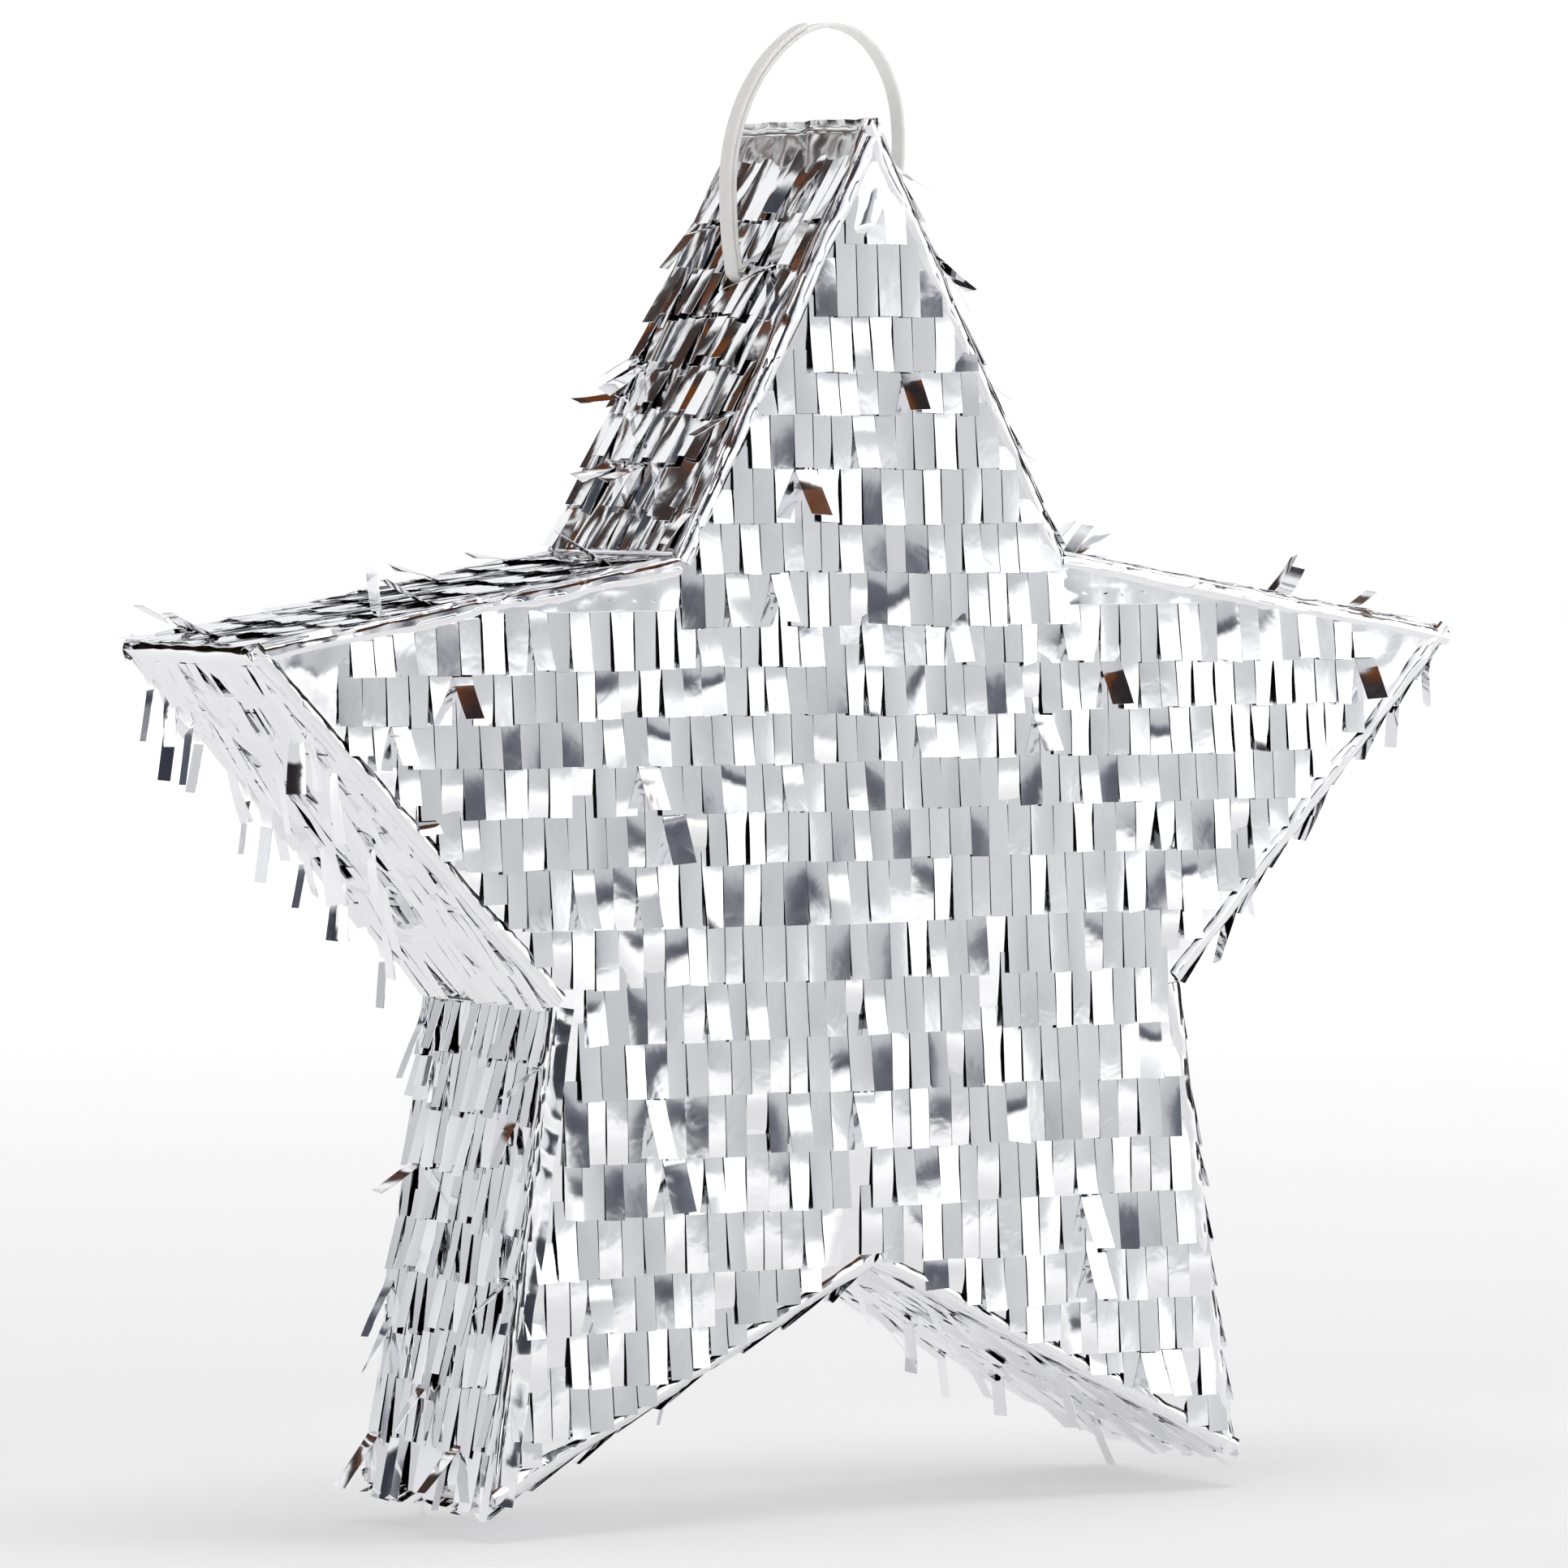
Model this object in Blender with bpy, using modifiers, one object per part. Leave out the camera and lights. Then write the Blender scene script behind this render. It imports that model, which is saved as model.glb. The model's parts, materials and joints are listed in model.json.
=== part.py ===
"""A five-pointed star pinata: a hollow cardboard star under rows of foil fringe, hung by a cable tie.

Metres, +Z up, the front face towards -Y. The origin is where a hook bears: on the inside of the
hanging loop, straight above the middle of the star. The two tilted walls of the top point carry the
strap holes, and the back carries the opening that sweets go in through, shut by a flap cut from it.
"""

import math

import bmesh
import bpy
from mathutils import Matrix, Vector

# Cardboard star
STAR_RADIUS = 0.1685        # centre to the end of a cardboard point
VALLEY_RATIO = 0.52         # inner corner's radius over the point's radius
BODY_DEPTH = 0.0575         # front face to back face of the cardboard
BOARD = 0.002               # thickness of the cardboard
GAP = 0.0003                # left between pieces that touch
POINT_COUNT = 5
SECTOR = 2 * math.pi / POINT_COUNT
TIP_GAP = 0.0006            # between neighbouring side walls, along a point's edge
SIDE_NAMES = ("top_right", "right", "crotch", "left", "top_left")

# Foil fringe: rows of slit foil that overlap like roof tiles
FOIL_SHEET = 0.0004         # one row's folded foil
FOIL_REACH = 0.0024         # how far the fringe stands out from the cardboard
LAYER_STEP = FOIL_SHEET + GAP + 0.00005
FIRST_ROW_BOTTOM = 0.144    # height of the top row's cut ends above the star's centre
ROW_PITCH = 0.0123
ROW_COUNT = 24
BAND_ROWS = 2               # rows of the back that one piece stands for
BAND_OVERLAP = 0.003
BAND_COUNT = 13
FOOT_BLUNT = 0.001          # the lowest rows stop this far above the feet's sharp ends
SKIN_THIN = 0.0008          # side fringe: outer face at a row's glued edge, from the cardboard
SKIN_THICK = 0.0021         # and at its cut ends
SKIN_END_GAP = 0.0006
SKIN_ROWS = 9

# Strap holes and hanging loop
STRAP_HOLE_HEIGHT = 0.1366  # above the star's centre
STRAP_HOLE_RADIUS = 0.005
FRINGE_HOLE_RADIUS = 0.006
LOOP_RISE = 0.0572          # strap holes to the origin
TIE_WIDTH = 0.0048
TIE_THICKNESS = 0.0012
TIE_LEVEL = 0.00075         # each strand's distance from the holes' line, inside the star
BEND_START = 0.0173         # where the strands turn up, from the star's middle
BEND_RADIUS = 0.004
TIE_HEAD = (0.0055, 0.008, 0.005)
TIE_HEAD_CENTRE = -0.0087
TAIL_END_X = 0.001
PATH_STEPS = 5

# Fill opening and its flap, in the back
OPENING_WIDTH = 0.070
OPENING_TOP = 0.014         # above the star's centre
OPENING_BOTTOM = -0.027
FLAP_CLEARANCE = 0.0005
FLAP_BANDS = (6, 7)         # bands of the back that leave room for the flap
FLAP_FRINGE_DROP = 0.003    # the flap's fringe starts this far below the fold
FLAP_FRINGE_SLOPE = 0.04
BESIDE_OPENING = OPENING_WIDTH / 2 + 0.001

STAR_CENTRE_Z = -(LOOP_RISE + STRAP_HOLE_HEIGHT)
SWING_AXIS_Z = -LOOP_RISE
VALLEY_SIDE = VALLEY_RATIO * math.sin(SECTOR / 2)
VALLEY_DROP = 1 - VALLEY_RATIO * math.cos(SECTOR / 2)
EDGE_RATIO = VALLEY_SIDE / math.hypot(VALLEY_SIDE, VALLEY_DROP)  # centre to edge over radius
FOIL_RADIUS = STAR_RADIUS + FOIL_REACH / EDGE_RATIO
INNER_RADIUS = STAR_RADIUS - BOARD / EDGE_RATIO


def clear_scene():
    for obj in list(bpy.data.objects):
        bpy.data.objects.remove(obj)


def make_collection(name):
    collection = bpy.data.collections.new(name)
    bpy.context.scene.collection.children.link(collection)
    return collection


def make_material(name, colour, roughness, metallic=0.0):
    material = bpy.data.materials.new(name)
    material.use_nodes = True
    shader = material.node_tree.nodes["Principled BSDF"]
    shader.inputs["Base Color"].default_value = (*colour, 1.0)
    shader.inputs["Roughness"].default_value = roughness
    shader.inputs["Metallic"].default_value = metallic
    return material


def make_empty(name, height, depth=0.0, parent=None):
    """An axis that pieces hang from; its height is above the origin of the whole object."""
    empty = bpy.data.objects.new(name, None)
    PIECES.objects.link(empty)
    base = Vector((0, 0, 0))
    if parent:
        empty.parent = parent
        base = AXIS_PLACES[parent.name]
    empty.location = Vector((0, depth, height)) - base
    AXIS_PLACES[name] = Vector((0, depth, height))
    return empty


def place(obj, parent, location):
    """Hangs obj from parent, with its own origin at a place given in the whole object's frame."""
    obj.parent = parent
    obj.location = Vector(location) - AXIS_PLACES[parent.name]
    return obj


def flat_piece(name, outlines, thickness, material, parent, location, tilt=0.0, turn=0.0):
    """A flat sheet cut to outlines of (x, height), standing upright and facing -Y."""
    curve = bpy.data.curves.new(name, "CURVE")
    curve.dimensions = "2D"
    curve.fill_mode = "BOTH"
    curve.extrude = thickness / 2
    for outline in outlines:
        spline = curve.splines.new("POLY")
        spline.points.add(len(outline) - 1)
        for point, (x, height) in zip(spline.points, outline):
            point.co = (x, height, 0.0, 1.0)
        spline.use_cyclic_u = True
    curve.materials.append(material)
    obj = bpy.data.objects.new(name, curve)
    PIECES.objects.link(obj)
    obj.rotation_euler = (math.pi / 2 - tilt, 0, turn)
    return place(obj, parent, location)


def as_mesh(obj):
    """Swaps a curve object for a mesh object of the same shape, so that a Boolean can cut it."""
    bpy.context.view_layer.update()
    graph = bpy.context.evaluated_depsgraph_get()
    mesh = bpy.data.meshes.new_from_object(obj.evaluated_get(graph))
    bm = bmesh.new()
    bm.from_mesh(mesh)
    bmesh.ops.remove_doubles(bm, verts=bm.verts, dist=1e-6)
    bm.to_mesh(mesh)
    bm.free()
    name = obj.name
    parent = obj.parent
    location = obj.location.copy()
    rotation = obj.rotation_euler.copy()
    bpy.data.objects.remove(obj)
    piece = bpy.data.objects.new(name, mesh)
    PIECES.objects.link(piece)
    piece.parent = parent
    piece.location = location
    piece.rotation_euler = rotation
    return piece


def cut(obj, cutter, operation="DIFFERENCE"):
    modifier = obj.modifiers.new(cutter.name, "BOOLEAN")
    modifier.operation = operation
    modifier.solver = "EXACT"
    modifier.object = cutter


def make_cutter(name):
    """Turns the active primitive into a guide that cuts and isn't a piece."""
    cutter = bpy.context.object
    cutter.name = name
    cutter.hide_render = True
    cutter.display_type = "WIRE"
    for collection in list(cutter.users_collection):
        collection.objects.unlink(cutter)
    CUTTERS.objects.link(cutter)
    return cutter


# The star's outline, and bands across it


def star_points(radius):
    """Point, valley, point, valley... clockwise from the top, as (x, height above the centre)."""
    points = []
    for step in range(2 * POINT_COUNT):
        reach = radius * (VALLEY_RATIO if step % 2 else 1.0)
        angle = math.pi / 2 - step * SECTOR / 2
        points.append(Vector((reach * math.cos(angle), reach * math.sin(angle))))
    return points


def mirrored(points):
    return [(-x, height) for x, height in reversed(points)]


def width_at(line, height):
    """The x of a falling line of (x, height) points at one height."""
    for (x0, high), (x1, low) in zip(line, line[1:]):
        if low <= height <= high:
            return x0 + (x1 - x0) * (high - height) / (high - low)
    return line[0][0] if height > line[0][1] else line[-1][0]


def band_edges(top, bottom):
    """The right half of the foil star between two heights: its outer edge going down, and its
    inner edge going up, which is empty above the crotch."""
    star = star_points(FOIL_RADIUS)
    outer_line = [tuple(point) for point in star[:5]]
    crotch = tuple(star[5])
    inner_line = [crotch, tuple(star[4])]
    corners = [height for _, height in outer_line if bottom < height < top]
    outer = [(width_at(outer_line, height), height) for height in (top, *corners, bottom)]
    inner = []
    if bottom < crotch[1]:
        inner = [(width_at(inner_line, bottom), bottom)]
        inner.append(crotch if top > crotch[1] else (width_at(inner_line, top), top))
    return outer, inner


def whole_band(top, bottom):
    outer, inner = band_edges(top, bottom)
    if not inner:
        return outer + mirrored(outer)
    return outer + inner + mirrored(inner[:1]) + mirrored(outer)


def half_band(top, bottom, inner_x=0.0):
    """One side of a band: a leg's, or what is left beside an opening in the middle."""
    outer, inner = band_edges(top, bottom)
    if not inner:
        inner = [(inner_x, bottom), (inner_x, top)]
    return outer + inner


def row_places(first_bottom, pitch, length, count):
    """Each row's top and bottom height, down to the feet."""
    star = star_points(FOIL_RADIUS)
    crotch_height = star[5][1]
    foot_height = star[4][1]
    for index in range(count):
        bottom = first_bottom - index * pitch
        top = bottom + length
        in_legs = top < crotch_height + pitch / 4
        if in_legs:
            top = min(top, crotch_height - FOOT_BLUNT)
        yield index, top, max(bottom, foot_height + FOOT_BLUNT), in_legs


def hang_row(name, outline, top, face, tilt, parent):
    """One fringe row, glued along its top edge and standing out towards its cut ends."""
    start = BODY_DEPTH / 2 + GAP + FOIL_SHEET / 2
    local = [(x, height - top) for x, height in outline]
    location = (0, face * start, STAR_CENTRE_Z + top)
    turn = math.pi if face > 0 else 0.0
    return flat_piece(name, [local], FOIL_SHEET, FOIL, parent, location, tilt, turn)


# Cardboard


def make_front_panel():
    location = (0, -(BODY_DEPTH - BOARD) / 2, STAR_CENTRE_Z)
    flat_piece("front_panel", [star_points(STAR_RADIUS)], BOARD, CARDBOARD, STAR_AXIS, location)


def rectangle(half_width, bottom, top):
    return [(-half_width, bottom), (half_width, bottom), (half_width, top), (-half_width, top)]


def make_back_panel():
    opening = rectangle(OPENING_WIDTH / 2, OPENING_BOTTOM, OPENING_TOP)
    location = (0, (BODY_DEPTH - BOARD) / 2, STAR_CENTRE_Z)
    outlines = [star_points(STAR_RADIUS), opening]
    flat_piece("back_panel", outlines, BOARD, CARDBOARD, STAR_AXIS, location)


def make_side_walls():
    """Five folded strips: each runs from one point, round a valley, to the next point."""
    outer = star_points(STAR_RADIUS)
    inner = star_points(INNER_RADIUS)
    depth = BODY_DEPTH - 2 * (BOARD + GAP)
    for index, name in enumerate(SIDE_NAMES):
        tip, valley, next_tip = (outer[(2 * index + step) % 10] for step in range(3))
        inner_tip, inner_valley, inner_next = (inner[(2 * index + step) % 10] for step in range(3))
        outline = []
        for corner, middle in ((tip, valley), (next_tip, valley), (inner_next, inner_valley),
                               (inner_tip, inner_valley)):
            outline.append(corner + (middle - corner).normalized() * TIP_GAP / 2)
        outline.insert(1, valley)
        outline.insert(4, inner_valley)
        wall = flat_piece("side_wall_" + name, [outline], depth, CARDBOARD, STAR_AXIS,
                          (0, 0, STAR_CENTRE_Z))
        if name.startswith("top"):
            cut(as_mesh(wall), strap_cutter("strap_hole_" + name, STRAP_HOLE_RADIUS))


def strap_cutter(name, radius):
    bpy.ops.mesh.primitive_cylinder_add(
        vertices=24, radius=radius, depth=0.1, location=(0, 0, SWING_AXIS_Z),
        rotation=(0, math.pi / 2, 0),
    )
    return make_cutter(name)


def make_flap():
    half = OPENING_WIDTH / 2 - FLAP_CLEARANCE
    low = OPENING_BOTTOM - OPENING_TOP + FLAP_CLEARANCE
    location = (0, (BODY_DEPTH - BOARD) / 2, STAR_CENTRE_Z + OPENING_TOP)
    flat_piece("fill_flap", [rectangle(half, low, -FLAP_CLEARANCE)], BOARD, CARDBOARD, FLAP_AXIS,
               location)
    outline = rectangle(half, low, -FLAP_FRINGE_DROP)
    start = BODY_DEPTH / 2 + 2 * GAP + FOIL_SHEET / 2
    flat_piece("fringe_fill_flap", [outline], FOIL_SHEET, FOIL, FLAP_AXIS,
               (0, start, STAR_CENTRE_Z + OPENING_TOP), math.atan(FLAP_FRINGE_SLOPE), math.pi)


# Fringe


def make_front_rows():
    tilt = math.atan(LAYER_STEP / ROW_PITCH)
    for index, top, bottom, in_legs in row_places(FIRST_ROW_BOTTOM, ROW_PITCH, 2 * ROW_PITCH,
                                                  ROW_COUNT):
        name = f"front_fringe_{index + 1:02d}"
        if in_legs:
            outline = half_band(top, bottom)
            hang_row(name + "_right_leg", outline, top, -1, tilt, STAR_AXIS)
            hang_row(name + "_left_leg", mirrored(outline), top, -1, tilt, STAR_AXIS)
        else:
            hang_row(name, whole_band(top, bottom), top, -1, tilt, STAR_AXIS)


def make_back_bands():
    pitch = BAND_ROWS * ROW_PITCH
    tilt = math.atan(LAYER_STEP / ROW_PITCH)
    for index, top, bottom, in_legs in row_places(FIRST_ROW_BOTTOM, pitch, pitch + BAND_OVERLAP,
                                                  BAND_COUNT):
        name = f"back_fringe_{index + 1:02d}"
        if in_legs or index in FLAP_BANDS:
            outline = half_band(top, bottom, BESIDE_OPENING)
            hang_row(name + "_left", outline, top, 1, tilt, STAR_AXIS)
            hang_row(name + "_right", mirrored(outline), top, 1, tilt, STAR_AXIS)
        else:
            hang_row(name, whole_band(top, bottom), top, 1, tilt, STAR_AXIS)


def wall_profile(tip, valley):
    """The stepped outer face of one wall's fringe, from the point to the valley."""
    along = (valley - tip).normalized()
    outward = Vector((-along.y, along.x))
    if outward.dot(tip) < 0:
        outward.negate()
    length = (valley - tip).length
    tip_spread = along.dot(-tip.normalized()) / math.sqrt(1 - along.dot(-tip.normalized()) ** 2)
    valley_spread = along.dot(valley.normalized()) / outward.dot(valley.normalized())
    downhill = valley.y < tip.y
    pitch = (length - SKIN_ROWS * SKIN_END_GAP) / SKIN_ROWS

    def spot(distance, reach):
        return tip + along * distance + outward * reach

    first_reach = SKIN_THIN if downhill else SKIN_THICK
    points = [spot(SKIN_END_GAP - GAP * tip_spread, GAP)]
    points.append(spot(SKIN_END_GAP - first_reach * tip_spread, first_reach))
    for row in range(1, SKIN_ROWS):
        before, after = (SKIN_THICK, SKIN_THIN) if downhill else (SKIN_THIN, SKIN_THICK)
        points.append(spot(row * pitch, before))
        points.append(spot(row * pitch, after))
    points.append(spot(length + SKIN_THIN * valley_spread, SKIN_THIN))
    return points, spot(length + GAP * valley_spread, GAP)


def make_side_fringe():
    star = star_points(STAR_RADIUS)
    for index, name in enumerate(SIDE_NAMES):
        tip, valley, next_tip = (star[(2 * index + step) % 10] for step in range(3))
        first, fold = wall_profile(tip, valley)
        second, _ = wall_profile(next_tip, valley)
        outline = first + list(reversed(second))[1:] + [fold]
        fringe = flat_piece("side_fringe_" + name, [outline], BODY_DEPTH, FOIL, STAR_AXIS,
                            (0, 0, STAR_CENTRE_Z))
        if name.startswith("top"):
            cut(as_mesh(fringe), strap_cutter("fringe_hole_" + name, FRINGE_HOLE_RADIUS))


# Hanging loop


def arc(centre, radius, start, end, steps=5):
    points = []
    for step in range(steps + 1):
        angle = math.radians(start + (end - start) * step / steps)
        points.append(Vector((centre[0] + radius * math.cos(angle),
                              centre[1] + radius * math.sin(angle))))
    return points


def smooth(points):
    """A Catmull-Rom curve through the points."""
    result = []
    padded = [points[0]] + points + [points[-1]]
    for before, start, end, after in zip(padded, padded[1:], padded[2:], padded[3:]):
        for step in range(PATH_STEPS):
            t = step / PATH_STEPS
            result.append(
                0.5 * ((2 * start) + (end - before) * t
                       + (2 * before - 5 * start + 4 * end - after) * t * t
                       + (3 * start - before - 3 * end + after) * t ** 3)
            )
    result.append(points[-1])
    return result


def offset_left(points, distance):
    """The points moved sideways, to the left of the way they run."""
    moved = []
    for index, point in enumerate(points):
        ahead = points[min(index + 1, len(points) - 1)] - points[max(index - 1, 0)]
        ahead.normalize()
        moved.append(point + Vector((-ahead.y, ahead.x)) * distance)
    return moved


def tie_path():
    """The strap's middle line, as (x, height above the strap holes): from its head out of the left
    hole, over the top, in at the right hole, through its head and up beside itself."""
    arch = [Vector(spot) for spot in (
        (-0.0213, 0.0120), (-0.0208, 0.0240), (-0.0190, 0.0340), (-0.0154, 0.0428),
        (-0.0096, 0.0508), (-0.0020, 0.0568), (0.0060, 0.0590), (0.0138, 0.0572),
        (0.0200, 0.0518), (0.0240, 0.0440), (0.0256, 0.0350), (0.0252, 0.0250),
        (0.0238, 0.0150), (0.0226, 0.0085),
    )]
    left_bend = arc((-BEND_START, TIE_LEVEL + BEND_RADIUS), BEND_RADIUS, 270, 180)
    right_bend = arc((BEND_START, BEND_RADIUS), BEND_RADIUS + TIE_LEVEL, 0, -90)
    loop = left_bend[:-1] + smooth(left_bend[-1:] + arch + right_bend[:1]) + right_bend[1:]
    doubled = loop[:next(i for i, spot in enumerate(loop) if spot.x > TAIL_END_X)]
    tail = offset_left(doubled, -2 * TIE_LEVEL)
    head = [Vector((TIE_HEAD_CENTRE, TIE_LEVEL))]
    return_run = [Vector((x, -TIE_LEVEL)) for x in (0.0, TIE_HEAD_CENTRE, -BEND_START)]
    return head + loop + return_run + tail[1:]


def make_hanging_tie():
    mesh = bpy.data.meshes.new("hanging_tie")
    bm = bmesh.new()
    edge_verts = [bm.verts.new((spot.x, -TIE_WIDTH / 2, spot.y)) for spot in tie_path()]
    edges = [bm.edges.new(pair) for pair in zip(edge_verts, edge_verts[1:])]
    ribbon = bmesh.ops.extrude_edge_only(bm, edges=edges)
    new_verts = [item for item in ribbon["geom"] if isinstance(item, bmesh.types.BMVert)]
    bmesh.ops.translate(bm, verts=new_verts, vec=(0, TIE_WIDTH, 0))
    bmesh.ops.recalc_face_normals(bm, faces=bm.faces)
    bm.to_mesh(mesh)
    bm.free()
    mesh.materials.append(NYLON)
    tie = bpy.data.objects.new("hanging_tie", mesh)
    PIECES.objects.link(tie)
    place(tie, LOOP_AXIS, (0, 0, SWING_AXIS_Z))
    thickness = tie.modifiers.new("strap_thickness", "SOLIDIFY")
    thickness.thickness = TIE_THICKNESS
    thickness.offset = 0
    thickness.use_even_offset = True
    bpy.ops.mesh.primitive_cube_add(size=1, location=(TIE_HEAD_CENTRE, 0, SWING_AXIS_Z))
    head = make_cutter("tie_head")
    head.data.transform(Matrix.Diagonal((*TIE_HEAD, 1.0)))
    cut(tie, head, "UNION")


clear_scene()
PIECES = make_collection("star_pinata")
CUTTERS = make_collection("cutters")
AXIS_PLACES = {}
CARDBOARD = make_material("cardboard", (0.45, 0.32, 0.20), 0.9)
FOIL = make_material("silver_foil", (0.80, 0.80, 0.82), 0.12, 1.0)
NYLON = make_material("nylon", (0.82, 0.82, 0.78), 0.35)
LOOP_AXIS = make_empty("hanging_loop", 0.0)
STAR_AXIS = make_empty("star_swing_axis", SWING_AXIS_Z, 0.0, LOOP_AXIS)
FLAP_AXIS = make_empty("flap_fold_axis", STAR_CENTRE_Z + OPENING_TOP, BODY_DEPTH / 2, STAR_AXIS)

make_hanging_tie()
make_front_panel()
make_back_panel()
make_side_walls()
make_flap()
make_front_rows()
make_back_bands()
make_side_fringe()
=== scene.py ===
"""Looks of the foil star pinata: mirror foil fringe, crumpled foil edges, cardboard and nylon tie.

Everything is in metres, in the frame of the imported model. Each foil strip is a thin closed ribbon
that hangs from its row's glue line, with its own small tilt, twist, curl and width.
"""

import json
import math
import random

import bmesh
import bpy
from mathutils import Matrix, Vector, noise


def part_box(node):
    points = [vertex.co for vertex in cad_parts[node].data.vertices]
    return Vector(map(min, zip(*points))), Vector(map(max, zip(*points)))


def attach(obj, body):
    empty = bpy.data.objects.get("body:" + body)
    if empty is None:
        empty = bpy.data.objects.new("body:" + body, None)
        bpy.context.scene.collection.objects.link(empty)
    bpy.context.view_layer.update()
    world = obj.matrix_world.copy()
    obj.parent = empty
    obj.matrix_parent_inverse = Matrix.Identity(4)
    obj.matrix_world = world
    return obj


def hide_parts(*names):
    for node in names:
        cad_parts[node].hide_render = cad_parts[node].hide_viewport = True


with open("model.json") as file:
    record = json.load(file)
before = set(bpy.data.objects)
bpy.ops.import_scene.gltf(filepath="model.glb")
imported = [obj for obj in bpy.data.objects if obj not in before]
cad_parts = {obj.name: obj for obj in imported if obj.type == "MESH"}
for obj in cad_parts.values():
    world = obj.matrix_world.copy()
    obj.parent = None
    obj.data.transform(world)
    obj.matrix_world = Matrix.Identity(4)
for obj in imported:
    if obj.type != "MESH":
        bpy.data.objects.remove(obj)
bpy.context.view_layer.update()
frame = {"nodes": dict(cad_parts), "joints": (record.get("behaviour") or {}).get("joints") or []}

# The star, read from the frame
PANEL_LOW, PANEL_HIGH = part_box("front_panel")
FRONT_Y = PANEL_LOW.y
BACK_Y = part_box("back_panel")[1].y
SECTOR = math.radians(72)
CORNERS = 10  # points and valleys in turn
STAR_RADIUS = (PANEL_HIGH.z - PANEL_LOW.z) / (1 + math.cos(SECTOR / 2))
CENTRE_Z = PANEL_HIGH.z - STAR_RADIUS
VALLEY_RATIO = 0.52
VALLEY_SIDE = VALLEY_RATIO * math.sin(SECTOR / 2)
VALLEY_DROP = 1 - VALLEY_RATIO * math.cos(SECTOR / 2)
POINT_ANGLE = math.atan2(VALLEY_SIDE, VALLEY_DROP)  # half of a point's angle
SKIN = 0.0020  # depth of the foil layers over each wall's cardboard
EDGE_DISTANCE = STAR_RADIUS * math.sin(POINT_ANGLE) + SKIN  # centre to each edge's line
FOIL_RADIUS = EDGE_DISTANCE / math.sin(POINT_ANGLE)
ARM_START = VALLEY_SIDE * FOIL_RADIUS  # how far to the side the arms begin
DEPTH = BACK_Y - FRONT_Y
AXIS_X = Vector((1, 0, 0))
AXIS_Z = Vector((0, 0, 1))
SWING_AXIS_Z = frame["joints"][0]["pos_m"][2]

# Fringe
ROW_PITCH = 0.0123
ROW_BOTTOMS = tuple(height / 1000 for height in (
    144, 127.5, 115, 105, 93, 80.5, 69, 57, 47.5, 36.5, 26, 14.5, 3, -11, -24.5, -37,
    -50, -64, -77, -90, -102, -114.5, -126, -138.5,
))  # the front rows' lower ends, from the star's centre
HEADER_BOTTOM = 0.0615  # the arms' plain foil above its slits
FOIL = 0.00012  # thickness of one strip
FRONT_STRIP = 0.0057
SIDE_STRIP = 0.0044
SIDE_ROWS = 9
SLIT = 0.00022  # gap between two strips
HIDDEN = 0.42  # share of a row's pitch that is under the row above
START_HEIGHT = 0.00050  # strip's height over the cardboard at its top
END_HEIGHT = 0.00155  # and where it lies on the row below
HEADER_HEIGHT = 0.0002  # plain foil's height over the cardboard
HEADER_LEAN = 0.080  # slope of the arms' plain foil
FLAP_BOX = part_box("fill_flap")
FLAP_TOP = FLAP_BOX[1].z - CENTRE_Z
FLAP_BOTTOM = FLAP_BOX[0].z - CENTRE_Z
FLAP_HALF = FLAP_BOX[1].x
FOLD_CLEARANCE = 0.0025  # from the flap's fold to the strips over it
SIDE_NAMES = ("top_right", "right", "crotch", "left", "top_left")

# Camera
VIEW_AZIMUTH = -32.6  # degrees to the right of the star's front
VIEW_ELEVATION = 2.4  # degrees up
VIEW_DISTANCE = 2.177
VIEW_TARGET = Vector((-0.0060, 0.0, CENTRE_Z + 0.0196))
FOCAL_OVER_FRAME = 5.98  # focal length over the sensor's width
SENSOR = 36.0
FLOOR_DROP = 0.012

# Fringe on the faces
EDGE_BARE = 0.0026  # plain foil between the fringe and the star's edge
EDGE_WANDER = 0.0012  # how much that varies
ARM_BARE = 0.0022  # extra plain foil along the arms,
ARM_EDGES = (0.058, -0.080, 0.045)  # which is further out than this, between these heights
LEG_BARE = 0.0010  # and along the left leg,
LEG_EDGES = (-0.050, -0.030)  # which is beyond these, to the side and down
ARM_TIP = 0.024  # plain foil at the ends of the side points
SHORTEST = 0.0030  # a strip that would be shorter is left out
RAGGED = 0.0030  # a strip cut short by the star's edge reaches up to this much past it
MISSING = 0.010  # share of strips that are torn off
WIDTHS = (0.82, 1.12)  # smallest and largest strip, as shares of the usual one
ROW_SWAY = 0.0009  # how far a row's lower ends wander up and down
TOP_ROW_LENGTH = 0.0140
HEADER_ROW = 9
FLAP_ROWS = 4
SPLIT_BAND = 10  # from this band of the back down, its two sides meet in the middle
BACK_TURN = 1.6  # the back's strips are turned this much more than the front's
FIRST_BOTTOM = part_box("front_fringe_01")[0].z - CENTRE_Z
HEADER_GAP = 0.001  # from the arms' plain foil to the row between them
PUCKER_RISE = 0.0022  # from the slits' line to the puckers where they begin
PUCKER_LENGTH = 0.0014
PUCKER_WIDTH = 0.0009
NEAR_FOLD = 0.7 * ROW_PITCH  # a row that ends closer above the flap's fold goes on to it
FREE_CLEARANCE = 0.0010  # from the flap's free edge to the strips under it
FLAP_MARGIN = 0.002  # strips this close beside the flap keep clear of it too
FLAP_SIDE_GAP = 0.0030  # from the flap to the bands beside it
FLAP_TOP_GAP = 0.0012  # from the fold to the flap's own strips
FLAP_OVERHANG = 0.0012  # of the flap's last row

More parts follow.
